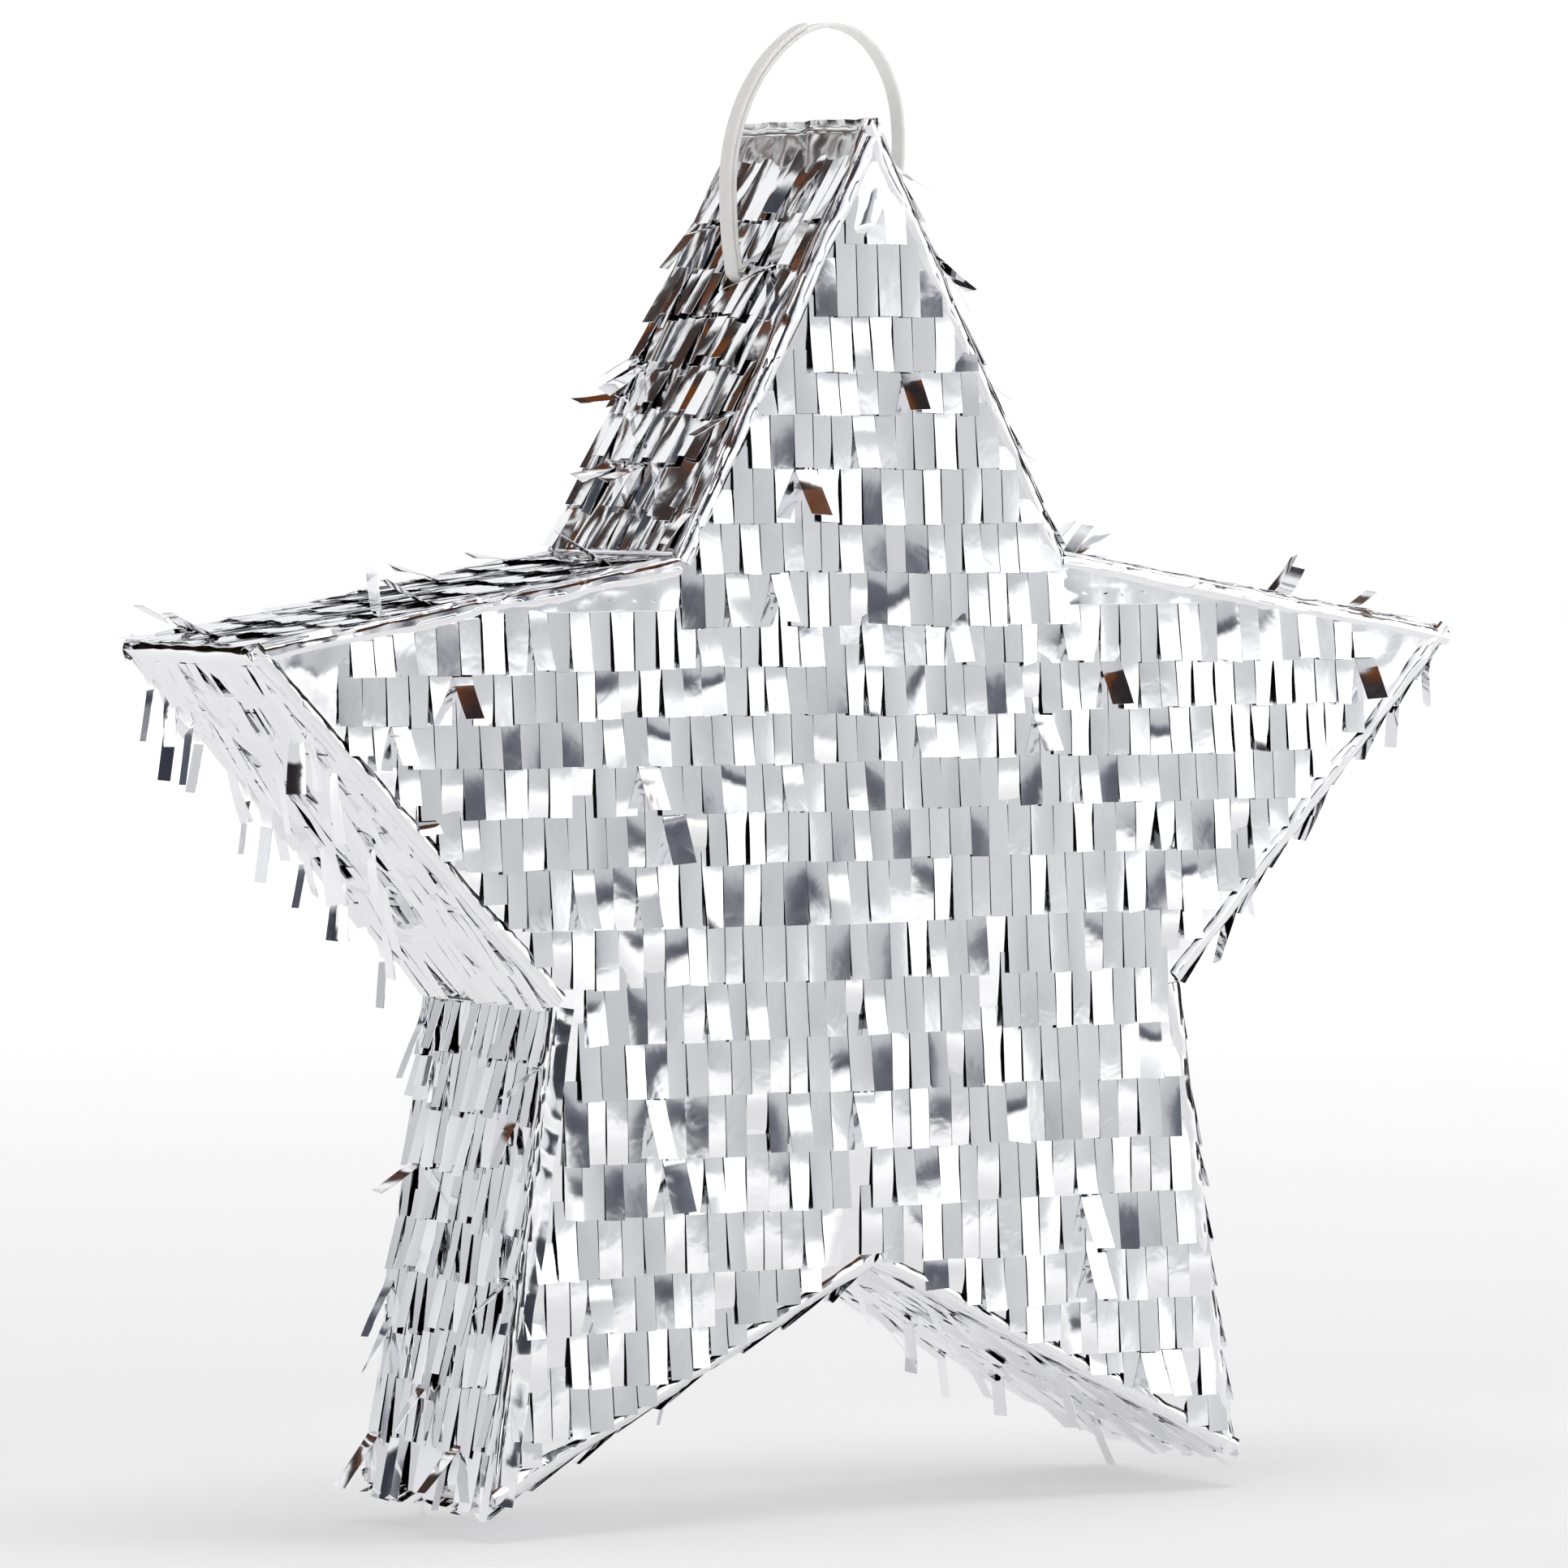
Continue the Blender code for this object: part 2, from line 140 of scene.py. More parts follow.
# Side fringe
SIDE_LOOKS = {
    # wall: mean lift, spread of lift, share that stand up, spread of turn, spread of curl;
    # angles are in degrees
    "top": (1.4, 1.4, 0.08, 3.0, 2.6),
    "shoulder": (0.3, 0.4, 0.04, 2.2, 0.7),
    "under": (3.2, 4.2, 0.10, 8.0, 4.0),
    "outer": (1.5, 2.0, 0.04, 4.5, 3.0),
    "crotch": (2.0, 2.5, 0.06, 5.0, 3.0),
}
LOOSE_STRIPS = (
    # side, wall, how far down it, how far across (front to back) and length, all in mm; then
    # lift off the wall, curl and turn in degrees
    ("top_right", 0, 10, -26, 13, 24, 6, 12), ("top_right", 0, 34, -27, 15, 17, 10, -8),
    ("top_right", 0, 62, -22, 15, 18, 8, 14), ("top_right", 0, 84, -24, 8, 30, 0, 10),
    ("top_right", 1, 22, 6, 13, 62, -8, 8), ("top_right", 1, 88, 12, 14, 40, 25, 20),
    ("top_right", 1, 96, -6, 12, 30, 10, 5), ("top_left", 1, 60, -27, 12, 38, -10, 15),
    ("top_left", 1, 70, -26, 14, 44, 12, -14), ("top_left", 0, 76, 25, 14, 84, 8, 4),
    ("top_left", 0, 98, -20, 17, 22, 12, 0), ("top_left", 0, 104, 2, 16, 24, 10, 4),
    ("left", 1, 9, -28, 15, 49, 2, 10), ("left", 1, 16, -27, 19, 50, 0, -12),
    ("left", 1, 20, -24, 17, 47, 3, 8), ("left", 1, 27, -28, 14, 50, 4, 0),
    ("left", 1, 44, -27, 16, 49, 0, 12), ("left", 1, 52, -28, 17, 48, 2, -8),
    ("left", 1, 66, -28, 13, 50, 4, 8), ("left", 1, 78, -27, 12, 49, 0, -10),
    ("left", 1, 96, -28, 15, 48, -3, 6), ("left", 0, 4, -27, 17, 20, -8, 12),
    ("left", 0, 66, -28, 15, 24, -10, 8), ("crotch", 1, 98, 27, 15, 52, 22, 14),
    ("crotch", 0, 60, -26, 13, 46, 8, 6), ("crotch", 0, 74, -20, 11, 50, 4, -8),
    ("right", 0, 8, -27, 12, 42, 4, 10), ("right", 0, 20, -26, 13, 36, 0, -6),
    ("right", 1, 30, 20, 12, 30, 8, 12), ("right", 1, 70, -12, 13, 28, -6, -10),
)
SIDE_WIDTHS = (0.75, 1.2)
SIDE_LONGER = (0.0012, 0.0011)  # mean and spread of how far a strip reaches past its row
LOOSE_GLUED = 0.004  # glued length at the top of each loose strip
STRAP_CLEARANCE = 0.0034  # from the strap's hole to the strips round it

# Plain foil
FRONT_CELL = 0.0021  # size of the sheets' squares
BACK_CELL = 0.0030
FOIL_HOLE = 0.0048  # radius of the strap's hole
FOLD_WIDTH = 0.0035  # from the star's edge to where the folded edge ends
FOLD_BLEND = 0.003  # from there to where the points' wrinkles have their full height
WRINKLE_LINE = 0.0068  # the edges' wrinkles run this far in from them
WRINKLE_REACH = 0.0026
WRINKLE_HEIGHT = 0.0007
WRINKLE_SIZE = 0.009
TIP_REACH = 0.030  # length of the wrinkled part of a point
DENT_HEIGHT = 0.0004
APEX_FACET = 0.026  # height of the creased plain foil at the top point
APEX_CREASE = -0.0015  # where its crease runs
CREASE_REACH = 0.008
CREASE_HEIGHT = 0.0011
HEADER_CUT = HEADER_BOTTOM - 0.0006  # where the arms' plain foil is cut free
HEADER_BLEND = 0.006  # from an arm's start to where its plain foil leans out fully
OPENING_GAP = 0.0008  # round the flap
WALL_TIP_REACH = 0.025
WALL_WRINKLE_HEIGHT = 0.0010
WALL_WRINKLE_SIZE = 0.012
PINCH_HEIGHT = 0.0007  # of the ridges across the folded edges
PINCH_SIZE = 0.010
PINCH_SLIDE = 0.0004  # how far they shift the foil sideways
EDGE_PROFILE = (
    # distance in from the edge on the face, and height over the face
    (0.0034, 0.0002), (0.0026, 0.0008), (0.0018, 0.0011), (0.0008, 0.0009), (0.0001, 0.0004),
)
SLOPED_PROFILE = (
    # the same where the fold slopes off towards the wall
    (0.0046, 0.0003), (0.0036, 0.0017), (0.0023, 0.0011), (0.0011, 0.0004), (0.0002, 0.0001),
)

# Cable tie
TIE_WIDTH = 0.0048
TIE_THICKNESS = 0.0011
TIE_LEVEL = 0.00075  # each strand's distance from the holes' line, inside the star
BEND_START = 0.0173  # where the strands turn up, from the star's middle
BEND_RADIUS = 0.002
TIE_HEAD_CENTRE = -0.0087
TIE_HEAD = (0.0055, 0.008, 0.005)
TAIL_END_X = 0.001
TOOTH_PITCH = 0.0011
TOOTH_DEPTH = 0.00006
TOOTH_HALF = 0.7  # share of the width that the teeth take up
STRAP_SECTION = (
    # the strap's outline, as shares of half its width and half its thickness
    (-1.0, 0.45), (-0.86, 0.95), (0.86, 0.95), (1.0, 0.45), (1.0, -0.45), (0.86, -0.95),
    (0.62, -0.95), (-0.62, -0.95), (-0.86, -0.95), (-1.0, -0.45),
)
TAIL_LIFT = 1.04 * TIE_THICKNESS  # from the strap to its doubled tail
HEAD_BEVEL = 0.0006
TIE_ARCH = (
    (-0.0204, 0.0110), (-0.0207, 0.0240), (-0.0190, 0.0340), (-0.0154, 0.0428),
    (-0.0096, 0.0508), (-0.0020, 0.0568), (0.0060, 0.0590), (0.0138, 0.0572),
    (0.0200, 0.0518), (0.0240, 0.0440), (0.0256, 0.0350), (0.0252, 0.0250),
    (0.0232, 0.0150), (0.0208, 0.0070),
)

# The room that the foil mirrors
WHITE = (1.0, 1.0, 1.0)
BLACK = (0.0, 0.0, 0.0)
BRIGHT = (1.35, 1.35, 1.37)
PALE = (0.92, 0.92, 0.94)
LIGHT = (0.72, 0.73, 0.75)
GREY = (0.50, 0.51, 0.53)
SLATE = (0.15, 0.16, 0.19)
NAVY = (0.038, 0.042, 0.060)
DARK = (0.022, 0.018, 0.020)
BROWN = (0.150, 0.045, 0.012)
UMBER = (0.050, 0.031, 0.026)
BACKDROP = 1.0  # brightness of the plain white that the camera sees
BAND_EDGE = 0.8  # degrees from a band's end to its full colour
ROOM_BANDS = (
    # where each upright band of the room ends, in degrees to the right of the star's front, and
    # its colour at its start and end; a ramp has room for these 16 and no more
    (-173, GREY, LIGHT), (-166, NAVY, SLATE), (-131, GREY, PALE), (-123, NAVY, NAVY),
    (-104, LIGHT, LIGHT), (-66, DARK, DARK), (-56, BRIGHT, BRIGHT), (-14, DARK, NAVY),
    (17, LIGHT, BRIGHT), (24, NAVY, SLATE), (38, GREY, LIGHT), (70, BRIGHT, BRIGHT),
    (112, DARK, DARK), (156, PALE, PALE), (163, NAVY, SLATE), (180, LIGHT, GREY),
)

# Floor
FLOOR_Z = PANEL_LOW.z - FLOOR_DROP
FLOOR_SIZE = 12.0
FLOOR_GLOW = 0.27  # under and behind the star, and well away from it
FRONT_GLOW = 0.13  # in front of it
FAR_GLOW = 0.45  # added far away

# Lights
SOFTBOXES = (
    # name, azimuth and elevation in degrees, distance, width, height and power
    ("key_softbox", 62, 38, 1.8, 0.6, 0.6, 1.6),
    ("fill_softbox", -56, 28, 1.8, 0.4, 0.8, 1.4),
    ("top_softbox", 0, 84, 1.6, 0.9, 0.9, 6.0),
)


# Materials


class Graph:
    """Builds a tree of shader nodes. A socket takes a value or another node's output."""

    def __init__(self, owner):
        owner.use_nodes = True
        self.nodes = owner.node_tree.nodes
        self.links = owner.node_tree.links

    def fill(self, node, inputs):
        for key, value in inputs.items():
            if isinstance(value, bpy.types.NodeSocket):
                self.links.new(value, node.inputs[key])
            else:
                node.inputs[key].default_value = value

    def add(self, kind, output, inputs=None, **settings):
        """Adds a node and gives back one of its outputs."""
        node = self.nodes.new("ShaderNode" + kind)
        for name, value in settings.items():
            setattr(node, name, value)
        self.fill(node, inputs or {})
        return node.outputs[output]

    def noise(self, coords, scale, detail=2.0, rough=0.5, distortion=0.0):
        return self.add("TexNoise", "Fac", {
            "Vector": coords, "Scale": scale, "Detail": detail, "Roughness": rough,
            "Distortion": distortion})

    def bump(self, height, strength, distance, normal=None):
        inputs = {"Height": height, "Strength": strength, "Distance": distance}
        if normal:
            inputs["Normal"] = normal
        return self.add("Bump", "Normal", inputs)

    def spread(self, value, low, high, start=0.0, end=1.0):
        """Maps a value that runs from start to end onto low to high."""
        return self.add("MapRange", "Result", {
            "Value": value, "From Min": start, "From Max": end, "To Min": low, "To Max": high})

    def calc(self, operation, first, second=0.0, third=0.5):
        return self.add("Math", 0, {0: first, 1: second, 2: third}, operation=operation)

    def plus(self, value, other, share):
        """value plus a share of other."""
        return self.calc("ADD", value, self.calc("MULTIPLY", other, share))

    def bands(self, factor, *stops):
        """A ramp of (place, colour) stops, with its end colours beyond the first and the last."""
        ramp = self.nodes.new("ShaderNodeValToRGB")
        elements = ramp.color_ramp.elements
        while len(elements) < len(stops):
            elements.new(0.5)
        for element, (place, colour) in zip(elements, stops):
            element.position = place
            element.color = (*colour, 1.0)
        self.fill(ramp, {"Fac": factor})
        return ramp.outputs["Color"]

    def mix(self, factor, first, second):
        return self.add("Mix", 2, {"Factor": factor, 6: first, 7: second}, data_type="RGBA")


def start_material(name):
    """A material with its graph, its shader and the coordinates of the piece that it is on."""
    material = bpy.data.materials.new(name)
    graph = Graph(material)
    return material, graph, graph.nodes["Principled BSDF"], graph.add("TexCoord", "Object")


def foil_material(name, ripple, crease, rough_low, rough_high):
    """Metallised film: a mirror with fine ripples, handling creases and slightly uneven gloss."""
    material, graph, shader, coords = start_material(name)
    broad = graph.noise(coords, 140.0, distortion=0.4)
    fine = graph.noise(coords, 620.0, detail=3.0, rough=0.55)
    patches = graph.noise(coords, 260.0, detail=3.0)
    graph.fill(shader, {
        "Base Color": (0.91, 0.915, 0.93, 1.0),
        "Metallic": 1.0,
        "Normal": graph.bump(fine, 1.0, crease, graph.bump(broad, 1.0, ripple)),
        "Roughness": graph.spread(patches, rough_low, rough_high),
    })
    return material


def cardboard_material():
    """Brown kraft board: mottled fibres with faint flute lines."""
    material, graph, shader, coords = start_material("kraft_cardboard")
    fibres = graph.noise(coords, 900.0, detail=5.0, rough=0.65)
    mottle = graph.noise(coords, 60.0, detail=3.0)
    blend = graph.calc("MULTIPLY", graph.calc("ADD", fibres, mottle), 0.5)
    flutes = graph.add("TexWave", "Fac", {"Vector": coords, "Scale": 55.0, "Distortion": 0.6})
    graph.fill(shader, {
        "Base Color": graph.bands(blend, (0.3, (0.30, 0.19, 0.105)), (0.7, (0.47, 0.33, 0.20))),
        "Normal": graph.bump(fibres, 0.6, 0.0001, graph.bump(flutes, 0.5, 0.0001)),
        "Roughness": 0.9,
    })
    return material


def nylon_material():
    """Natural nylon: milky, slightly see-through, soft gloss with flow marks."""
    material, graph, shader, coords = start_material("natural_nylon")
    cloud = graph.noise(coords, 170.0, detail=3.0)
    fine = graph.noise(coords, 1500.0, detail=3.0)
    graph.fill(shader, {
        "Base Color": graph.bands(cloud, (0.3, (0.90, 0.90, 0.86)), (0.7, (0.97, 0.97, 0.94))),
        "Subsurface Weight": 0.35,
        "Subsurface Radius": (0.002, 0.002, 0.0018),
        "Subsurface Scale": 1.0,
        "Roughness": graph.spread(fine, 0.30, 0.48),
        "Normal": graph.bump(cloud, 0.5, 0.00003),
    })
    return material


FRINGE_FOIL = foil_material("fringe_foil", 0.00005, 0.000003, 0.05, 0.12)
SIDE_FOIL = foil_material("side_fringe_foil", 0.00003, 0.000002, 0.03, 0.09)
WRAP_FOIL = foil_material("wrap_foil", 0.00004, 0.000004, 0.05, 0.13)
CARDBOARD = cardboard_material()
NYLON = nylon_material()


# Mesh building


def add_piece(name, mesh, material, body, sharp=None):
    """Adds a mesh to the scene as a piece that rides on a body of the model."""
    mesh.materials.append(material)
    mesh.shade_smooth()
    if sharp:
        mesh.set_sharp_from_angle(angle=math.radians(sharp))
    piece = bpy.data.objects.new(name, mesh)
    bpy.context.scene.collection.objects.link(piece)
    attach(piece, body)
    return piece


class Ribbons:
    """Collects thin closed ribbons into one mesh."""

    def __init__(self):
        self.verts = []
        self.faces = []

    def add(self, rows, thickness):
        """rows go down the ribbon; each is a list of (point, normal) from side to side."""
        count = len(rows[0])
        start = len(self.verts)
        for side in (0.5, -0.5):
            for row in rows:
                for point, normal in row:
                    self.verts.append(point + normal * (thickness * side))
        size = len(rows) * count

        def at(row, column, under=0):
            return start + under * size + row * count + column

        last_row = len(rows) - 1
        last = count - 1
        for row in range(last_row):
            for column in range(last):
                self.faces.append((at(row, column), at(row + 1, column),
                                   at(row + 1, column + 1), at(row, column + 1)))
                self.faces.append((at(row, column, 1), at(row, column + 1, 1),
                                   at(row + 1, column + 1, 1), at(row + 1, column, 1)))
            self.faces.append((at(row, 0), at(row, 0, 1), at(row + 1, 0, 1), at(row + 1, 0)))
            self.faces.append((at(row + 1, last), at(row + 1, last, 1),
                               at(row, last, 1), at(row, last)))
        for column in range(last):
            self.faces.append((at(0, column), at(0, column + 1),
                               at(0, column + 1, 1), at(0, column, 1)))
            self.faces.append((at(last_row, column + 1), at(last_row, column),
                               at(last_row, column, 1), at(last_row, column + 1, 1)))

    def piece(self, name, material, body, sharp=35):
        mesh = bpy.data.meshes.new(name)
        mesh.from_pydata(self.verts, [], self.faces)
        return add_piece(name, mesh, material, body, sharp=sharp)


class Face:
    """A flat face of the star: where a fringe row's strips hang. down runs with the strips, out
    away from the cardboard and across from strip to strip."""

    def __init__(self, origin, down, out):
        self.origin = origin
        self.down = down.normalized()
        self.out = out.normalized()
        self.across = self.out.cross(self.down)

    def spot(self, x, fall, height):
        return self.origin + self.across * x + self.down * fall + self.out * height


FRONT_FACE = Face(Vector((0, FRONT_Y, CENTRE_Z)), Vector((0, 0, -1)), Vector((0, -1, 0)))
BACK_FACE = Face(Vector((0, BACK_Y, CENTRE_Z)), Vector((0, 0, -1)), Vector((0, 1, 0)))


class Hang:
    """How one strip hangs. Angles are in degrees and bow is a share of its width. turn is about
    the strip's length from its top, and twist grows towards its end."""

    lift = curl = turn = twist = skew = slant = bow = 0.0


def add_strip(ribbons, face, x, top, pressed, length, width, hang, steps=4):
    """One strip, glued from top down to pressed and free below it for length."""
    lift, curl, turn, twist, skew, slant = (math.radians(angle) for angle in (
        hang.lift, hang.curl, hang.turn, hang.twist, hang.skew, hang.slant))
    slope = math.atan2(END_HEIGHT - START_HEIGHT, pressed - top + length)
    centre = face.spot(x, top, START_HEIGHT)
    rows = []

    def cross_row(angle, roll, end_slant):
        normal = face.out * math.cos(angle) - face.down * math.sin(angle)
        along = face.down * math.cos(angle) + face.out * math.sin(angle)
        side = face.across * math.cos(roll) + normal * math.sin(roll)
        normal = normal * math.cos(roll) - face.across * math.sin(roll)
        row = []
        for column in (-1.0, 0.0, 1.0):
            bulge = hang.bow * width * (1 - column * column)
            drop = along * (column * width / 2 * math.tan(end_slant))
            tip = (normal - side * (4 * hang.bow * column)).normalized()
            row.append((centre + side * (column * width / 2) + normal * bulge + drop, tip))
        rows.append(row)

    if pressed > top:
        cross_row(slope, 0.0, 0.0)
        along = face.down * math.cos(slope) + face.out * math.sin(slope)
        centre = centre + along * (pressed - top)
    previous = 0.0
    for index in range(steps + 1):
        share = index / steps
        angle = slope + lift * min(1.0, share * 3) + curl * share
        step = (share - previous) * length
        centre = centre + face.down * (math.cos(angle) * step)
        centre = centre + face.out * (math.sin(angle) * step)
        centre = centre + face.across * (math.tan(skew) * step)
        roll = turn * min(1.0, 0.35 + share * 2) + twist * share
        cross_row(angle, roll, slant if index == steps else 0.0)
        previous = share
    ribbons.add(rows, FOIL)


# The star's outline


def star_points(radius):
    """The star's corners, clockwise from its top point as seen from the front."""
    points = []
    for step in range(CORNERS):
        reach = radius * (VALLEY_RATIO if step % 2 else 1.0)
        angle = math.pi / 2 - step * SECTOR / 2
        points.append(Vector((reach * math.cos(angle), 0, CENTRE_Z + reach * math.sin(angle))))
    return points


def margin_inside(x, height):
    """How far a spot of the front lies inside the cardboard star's edge; height is from the
    star's centre."""
    radius = math.hypot(x, height)
    angle = math.atan2(x, height) % SECTOR
    angle = min(angle, SECTOR - angle)
    return EDGE_DISTANCE - radius * math.cos(math.pi / 2 - POINT_ANGLE - angle)


def smooth_noise(x, row, channel):
    """A value that neighbouring strips of a row nearly share."""
    return noise.noise(Vector((x * 55.0, row * 3.7 + 0.31, channel * 11.3)))


# Front and back fringe


def front_hang(draw, x, row):
    """A strip of the front or back: most lie nearly flat, in small groups that tilt alike, and a
    few are bent up, turned or folded."""
    hang = Hang()
    hang.lift = abs(draw.gauss(0, 0.8)) + 1.6 * max(0, smooth_noise(x, row, 1))
    hang.curl = draw.gauss(0, 2.0) + 6.0 * smooth_noise(x, row, 2)
    hang.twist = draw.gauss(0, 1.0) + 2.2 * smooth_noise(x, row, 3)
    hang.turn = draw.gauss(0, 0.8) + 2.6 * smooth_noise(x, row, 4)
    hang.skew = draw.gauss(0, 0.6)
    hang.bow = draw.gauss(0, 0.007)
    hang.slant = draw.gauss(0, 1.5)
    chance = draw.random()
    if chance < 0.046:      # bent up
        hang.lift = draw.uniform(19, 31)
        hang.curl = draw.uniform(-8, 10)
        hang.turn = draw.uniform(-8, 12)
    elif chance < 0.16:     # turned one way
        hang.turn = draw.uniform(3.5, 7.5)
    elif chance < 0.20:     # turned far the other way
        hang.turn = draw.uniform(-10, -8.5)
    elif chance < 0.29:     # turned a little the other way
        hang.turn = draw.uniform(-7.0, -4.2)
    elif chance < 0.33:     # twisted, and cut at a slant
        hang.twist = draw.choice((-1, 1)) * draw.uniform(10, 24)
        hang.slant = draw.uniform(-12, 12)
    elif chance < 0.41:     # curled
        hang.curl = draw.uniform(-16, 22)
    return hang


def bare_edge(x, height, row):
    """How much plain foil shows between the fringe and the star's edge."""
    if abs(x) > ARM_START and height > 0 and math.hypot(x, height) > FOIL_RADIUS - ARM_TIP:
        return FOIL_RADIUS
    bare = EDGE_BARE + EDGE_WANDER * noise.noise(Vector((row * 2.9, x * 9.0, 4.4)))
    if abs(x) > ARM_EDGES[0] and ARM_EDGES[1] < height < ARM_EDGES[2]:
        bare += ARM_BARE
    if x < LEG_EDGES[0] and height < LEG_EDGES[1]:
        bare += LEG_BARE
    return bare


def row_span(x, high, low, row):
    """The part of a strip at x, between two heights, that lies on the star; None if none does."""
    steps = 16
    heights = (high - (high - low) * step / steps for step in range(steps + 1))
    inside = [height for height in heights if margin_inside(x, height) > bare_edge(x, height, row)]
    return (inside[0], inside[-1]) if inside else None


def beside_flap(x, low, high):
    """Keeps a strip of the back clear of the flap: the row over it hangs to just above the fold,
    and the row under it starts below the flap's free edge."""
    if abs(x) < FLAP_HALF + FLAP_MARGIN:
        if FLAP_TOP < low < FLAP_TOP + NEAR_FOLD:
            low = FLAP_TOP + FOLD_CLEARANCE
        if low < FLAP_BOTTOM < high:
            high = FLAP_BOTTOM - FREE_CLEARANCE
    return low, high


def add_row(ribbons, face, row, bottom, above, draw, sides, limit=math.inf):
    """One row of fringe across the front or back, between two places to the sides. Its strips end
    at bottom, and start under the row that ends at above, no higher than limit."""
    on_back = face is BACK_FACE
    x = -FOIL_RADIUS + draw.uniform(0, FRONT_STRIP)
    while x < FOIL_RADIUS:
        width = FRONT_STRIP * draw.uniform(*WIDTHS)
        centre = x + width / 2
        x += width
        sway = ROW_SWAY * noise.noise(Vector((centre * 14.0, row * 1.7, 2.2)))
        low = bottom + sway + draw.gauss(0, 0.00018)
        high = min(above + ROW_PITCH * HIDDEN, limit)
        hang = front_hang(draw, centre, row)
        missing = draw.random() < MISSING
        if on_back:
            hang.lift += abs(draw.gauss(4.0, 3.0))
            hang.turn *= BACK_TURN
            clear_low, high = beside_flap(centre, low, high)
            if clear_low != low:
                low = clear_low
                hang = Hang()
                hang.lift = abs(draw.gauss(2.5, 1.5))
                hang.turn = draw.gauss(0, 4)
                hang.twist = draw.gauss(0, 3)
        span = row_span(centre, high, low, row)
        if span is None or missing or not sides[0] < centre < sides[1]:
            continue
        start, end = span
        end -= max(0.0, min(end - low, draw.uniform(0.0, RAGGED)))
        pressed = min(above, start)
        length = pressed - end
        if length < SHORTEST:
            continue
        across = -centre if on_back else centre
        add_strip(ribbons, face, across, -start, -pressed, length, width - SLIT, hang)


def make_rows(side, fill):
    """One piece for each of the front's or back's CAD sheets, in its place."""
    for name in sorted(frame["nodes"]):
        if name.startswith(side + "_fringe_"):
            ribbons = Ribbons()
            fill(ribbons, name, int(name.split("_")[2]), random.Random(side + name))
            piece = ribbons.piece(name.replace("fringe", "strips"), FRINGE_FOIL, "star_body")
            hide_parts(name)


def front_row(ribbons, name, row, draw):
    bottom = ROW_BOTTOMS[row - 1]
    above = ROW_BOTTOMS[row - 2] if row > 1 else bottom + ROW_PITCH
    sides = [-FOIL_RADIUS, FOIL_RADIUS]
    limit = math.inf
    if "left" in name:
        sides[1] = 0.0
    elif "right" in name:
        sides[0] = 0.0
    elif row == 1:
        limit = bottom + TOP_ROW_LENGTH
    elif row == HEADER_ROW - 1:
        sides = [HEADER_GAP - ARM_START, ARM_START - HEADER_GAP]
    elif row == HEADER_ROW:
        limit = above = HEADER_BOTTOM
    add_row(ribbons, FRONT_FACE, row, bottom, above, draw, sides, limit)
    if row == HEADER_ROW:
        add_slit_starts(ribbons, draw)


def add_slit_starts(ribbons, draw):
    """Small puckers in the plain foil, one where each slit begins."""
    x = -FOIL_RADIUS
    while x < FOIL_RADIUS:
        x += FRONT_STRIP * draw.uniform(0.9, 1.1)
        height = HEADER_BOTTOM + PUCKER_RISE + draw.gauss(0, 0.0002)
        if margin_inside(x, height + 0.002) < 0.003 or abs(x) < ARM_START:
            continue
        hang = Hang()
        hang.lift = draw.uniform(15, 55)
        hang.turn = draw.uniform(-40, 40)
        add_strip(ribbons, FRONT_FACE, x, -height, -height, PUCKER_LENGTH, PUCKER_WIDTH, hang, 2)


def back_rows(ribbons, name, band, draw):
    """The two glued rows of one CAD band."""
    nearest = FLAP_HALF + FLAP_SIDE_GAP if band < SPLIT_BAND else 0.0
    sides = [-FOIL_RADIUS, FOIL_RADIUS]
    if "left" in name:
        sides[0] = nearest
    elif "right" in name:
        sides[1] = -nearest
    for row in (2 * band - 1, 2 * band):
        bottom = FIRST_BOTTOM - (row - 2) * ROW_PITCH
        add_row(ribbons, BACK_FACE, row + 40, bottom, bottom + ROW_PITCH, draw, sides)


def make_flap_rows():
    draw = random.Random("flap")
    ribbons = Ribbons()
    pitch = (FLAP_TOP - FLAP_BOTTOM) / FLAP_ROWS
    count = round(2 * FLAP_HALF / FRONT_STRIP)
    width = 2 * FLAP_HALF / count
    for row in range(FLAP_ROWS):
        bottom = FLAP_TOP - (row + 1) * pitch
        top = min(bottom + pitch * (1 + HIDDEN), FLAP_TOP - FLAP_TOP_GAP)
        pressed = min(bottom + pitch, top)
        for index in range(count):
            centre = -FLAP_HALF + (index + 0.5) * width
            hang = front_hang(draw, centre, row + 80)
            hang.lift += abs(draw.gauss(3.5, 2.5))
            length = pressed - bottom + draw.gauss(0.0003, 0.0003)
            if row == FLAP_ROWS - 1:
                length += FLAP_OVERHANG
            if index in (0, count - 1):
                hang.lift *= 0.4
            add_strip(ribbons, BACK_FACE, -centre, -top, -pressed, length, width - SLIT, hang)
    piece = ribbons.piece("flap_strips", FRINGE_FOIL, "flap")
    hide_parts("fringe_fill_flap")


# Side fringe


def side_hang(draw, look, x, row, channel):
    mean, spread, standing, turn, curl = SIDE_LOOKS[look]
    hang = Hang()
    hang.lift = max(0.0, draw.gauss(mean, spread) + spread * smooth_noise(x, row, channel))
    hang.curl = curl * (draw.gauss(0, 1) + 1.3 * smooth_noise(x, row, channel + 1))
    hang.turn = draw.gauss(0, turn)
    hang.twist = draw.gauss(0, 2.0)
    hang.skew = draw.gauss(0, 1.2)
    hang.bow = draw.gauss(0, 0.008)
    hang.slant = draw.gauss(0, 4.0)
    if draw.random() < standing:
        hang.lift = draw.uniform(15, 45)
        hang.curl = draw.uniform(-25, 20)
        hang.twist = draw.uniform(-30, 30)
    return hang


def side_walls(index):
    """The corners of the two walls that meet in a valley: each one's point, and the valley."""
    star = star_points(FOIL_RADIUS)
    tip, valley, next_tip = (star[(2 * index + step) % CORNERS] for step in range(3))
    return (tip, valley), (next_tip, valley)


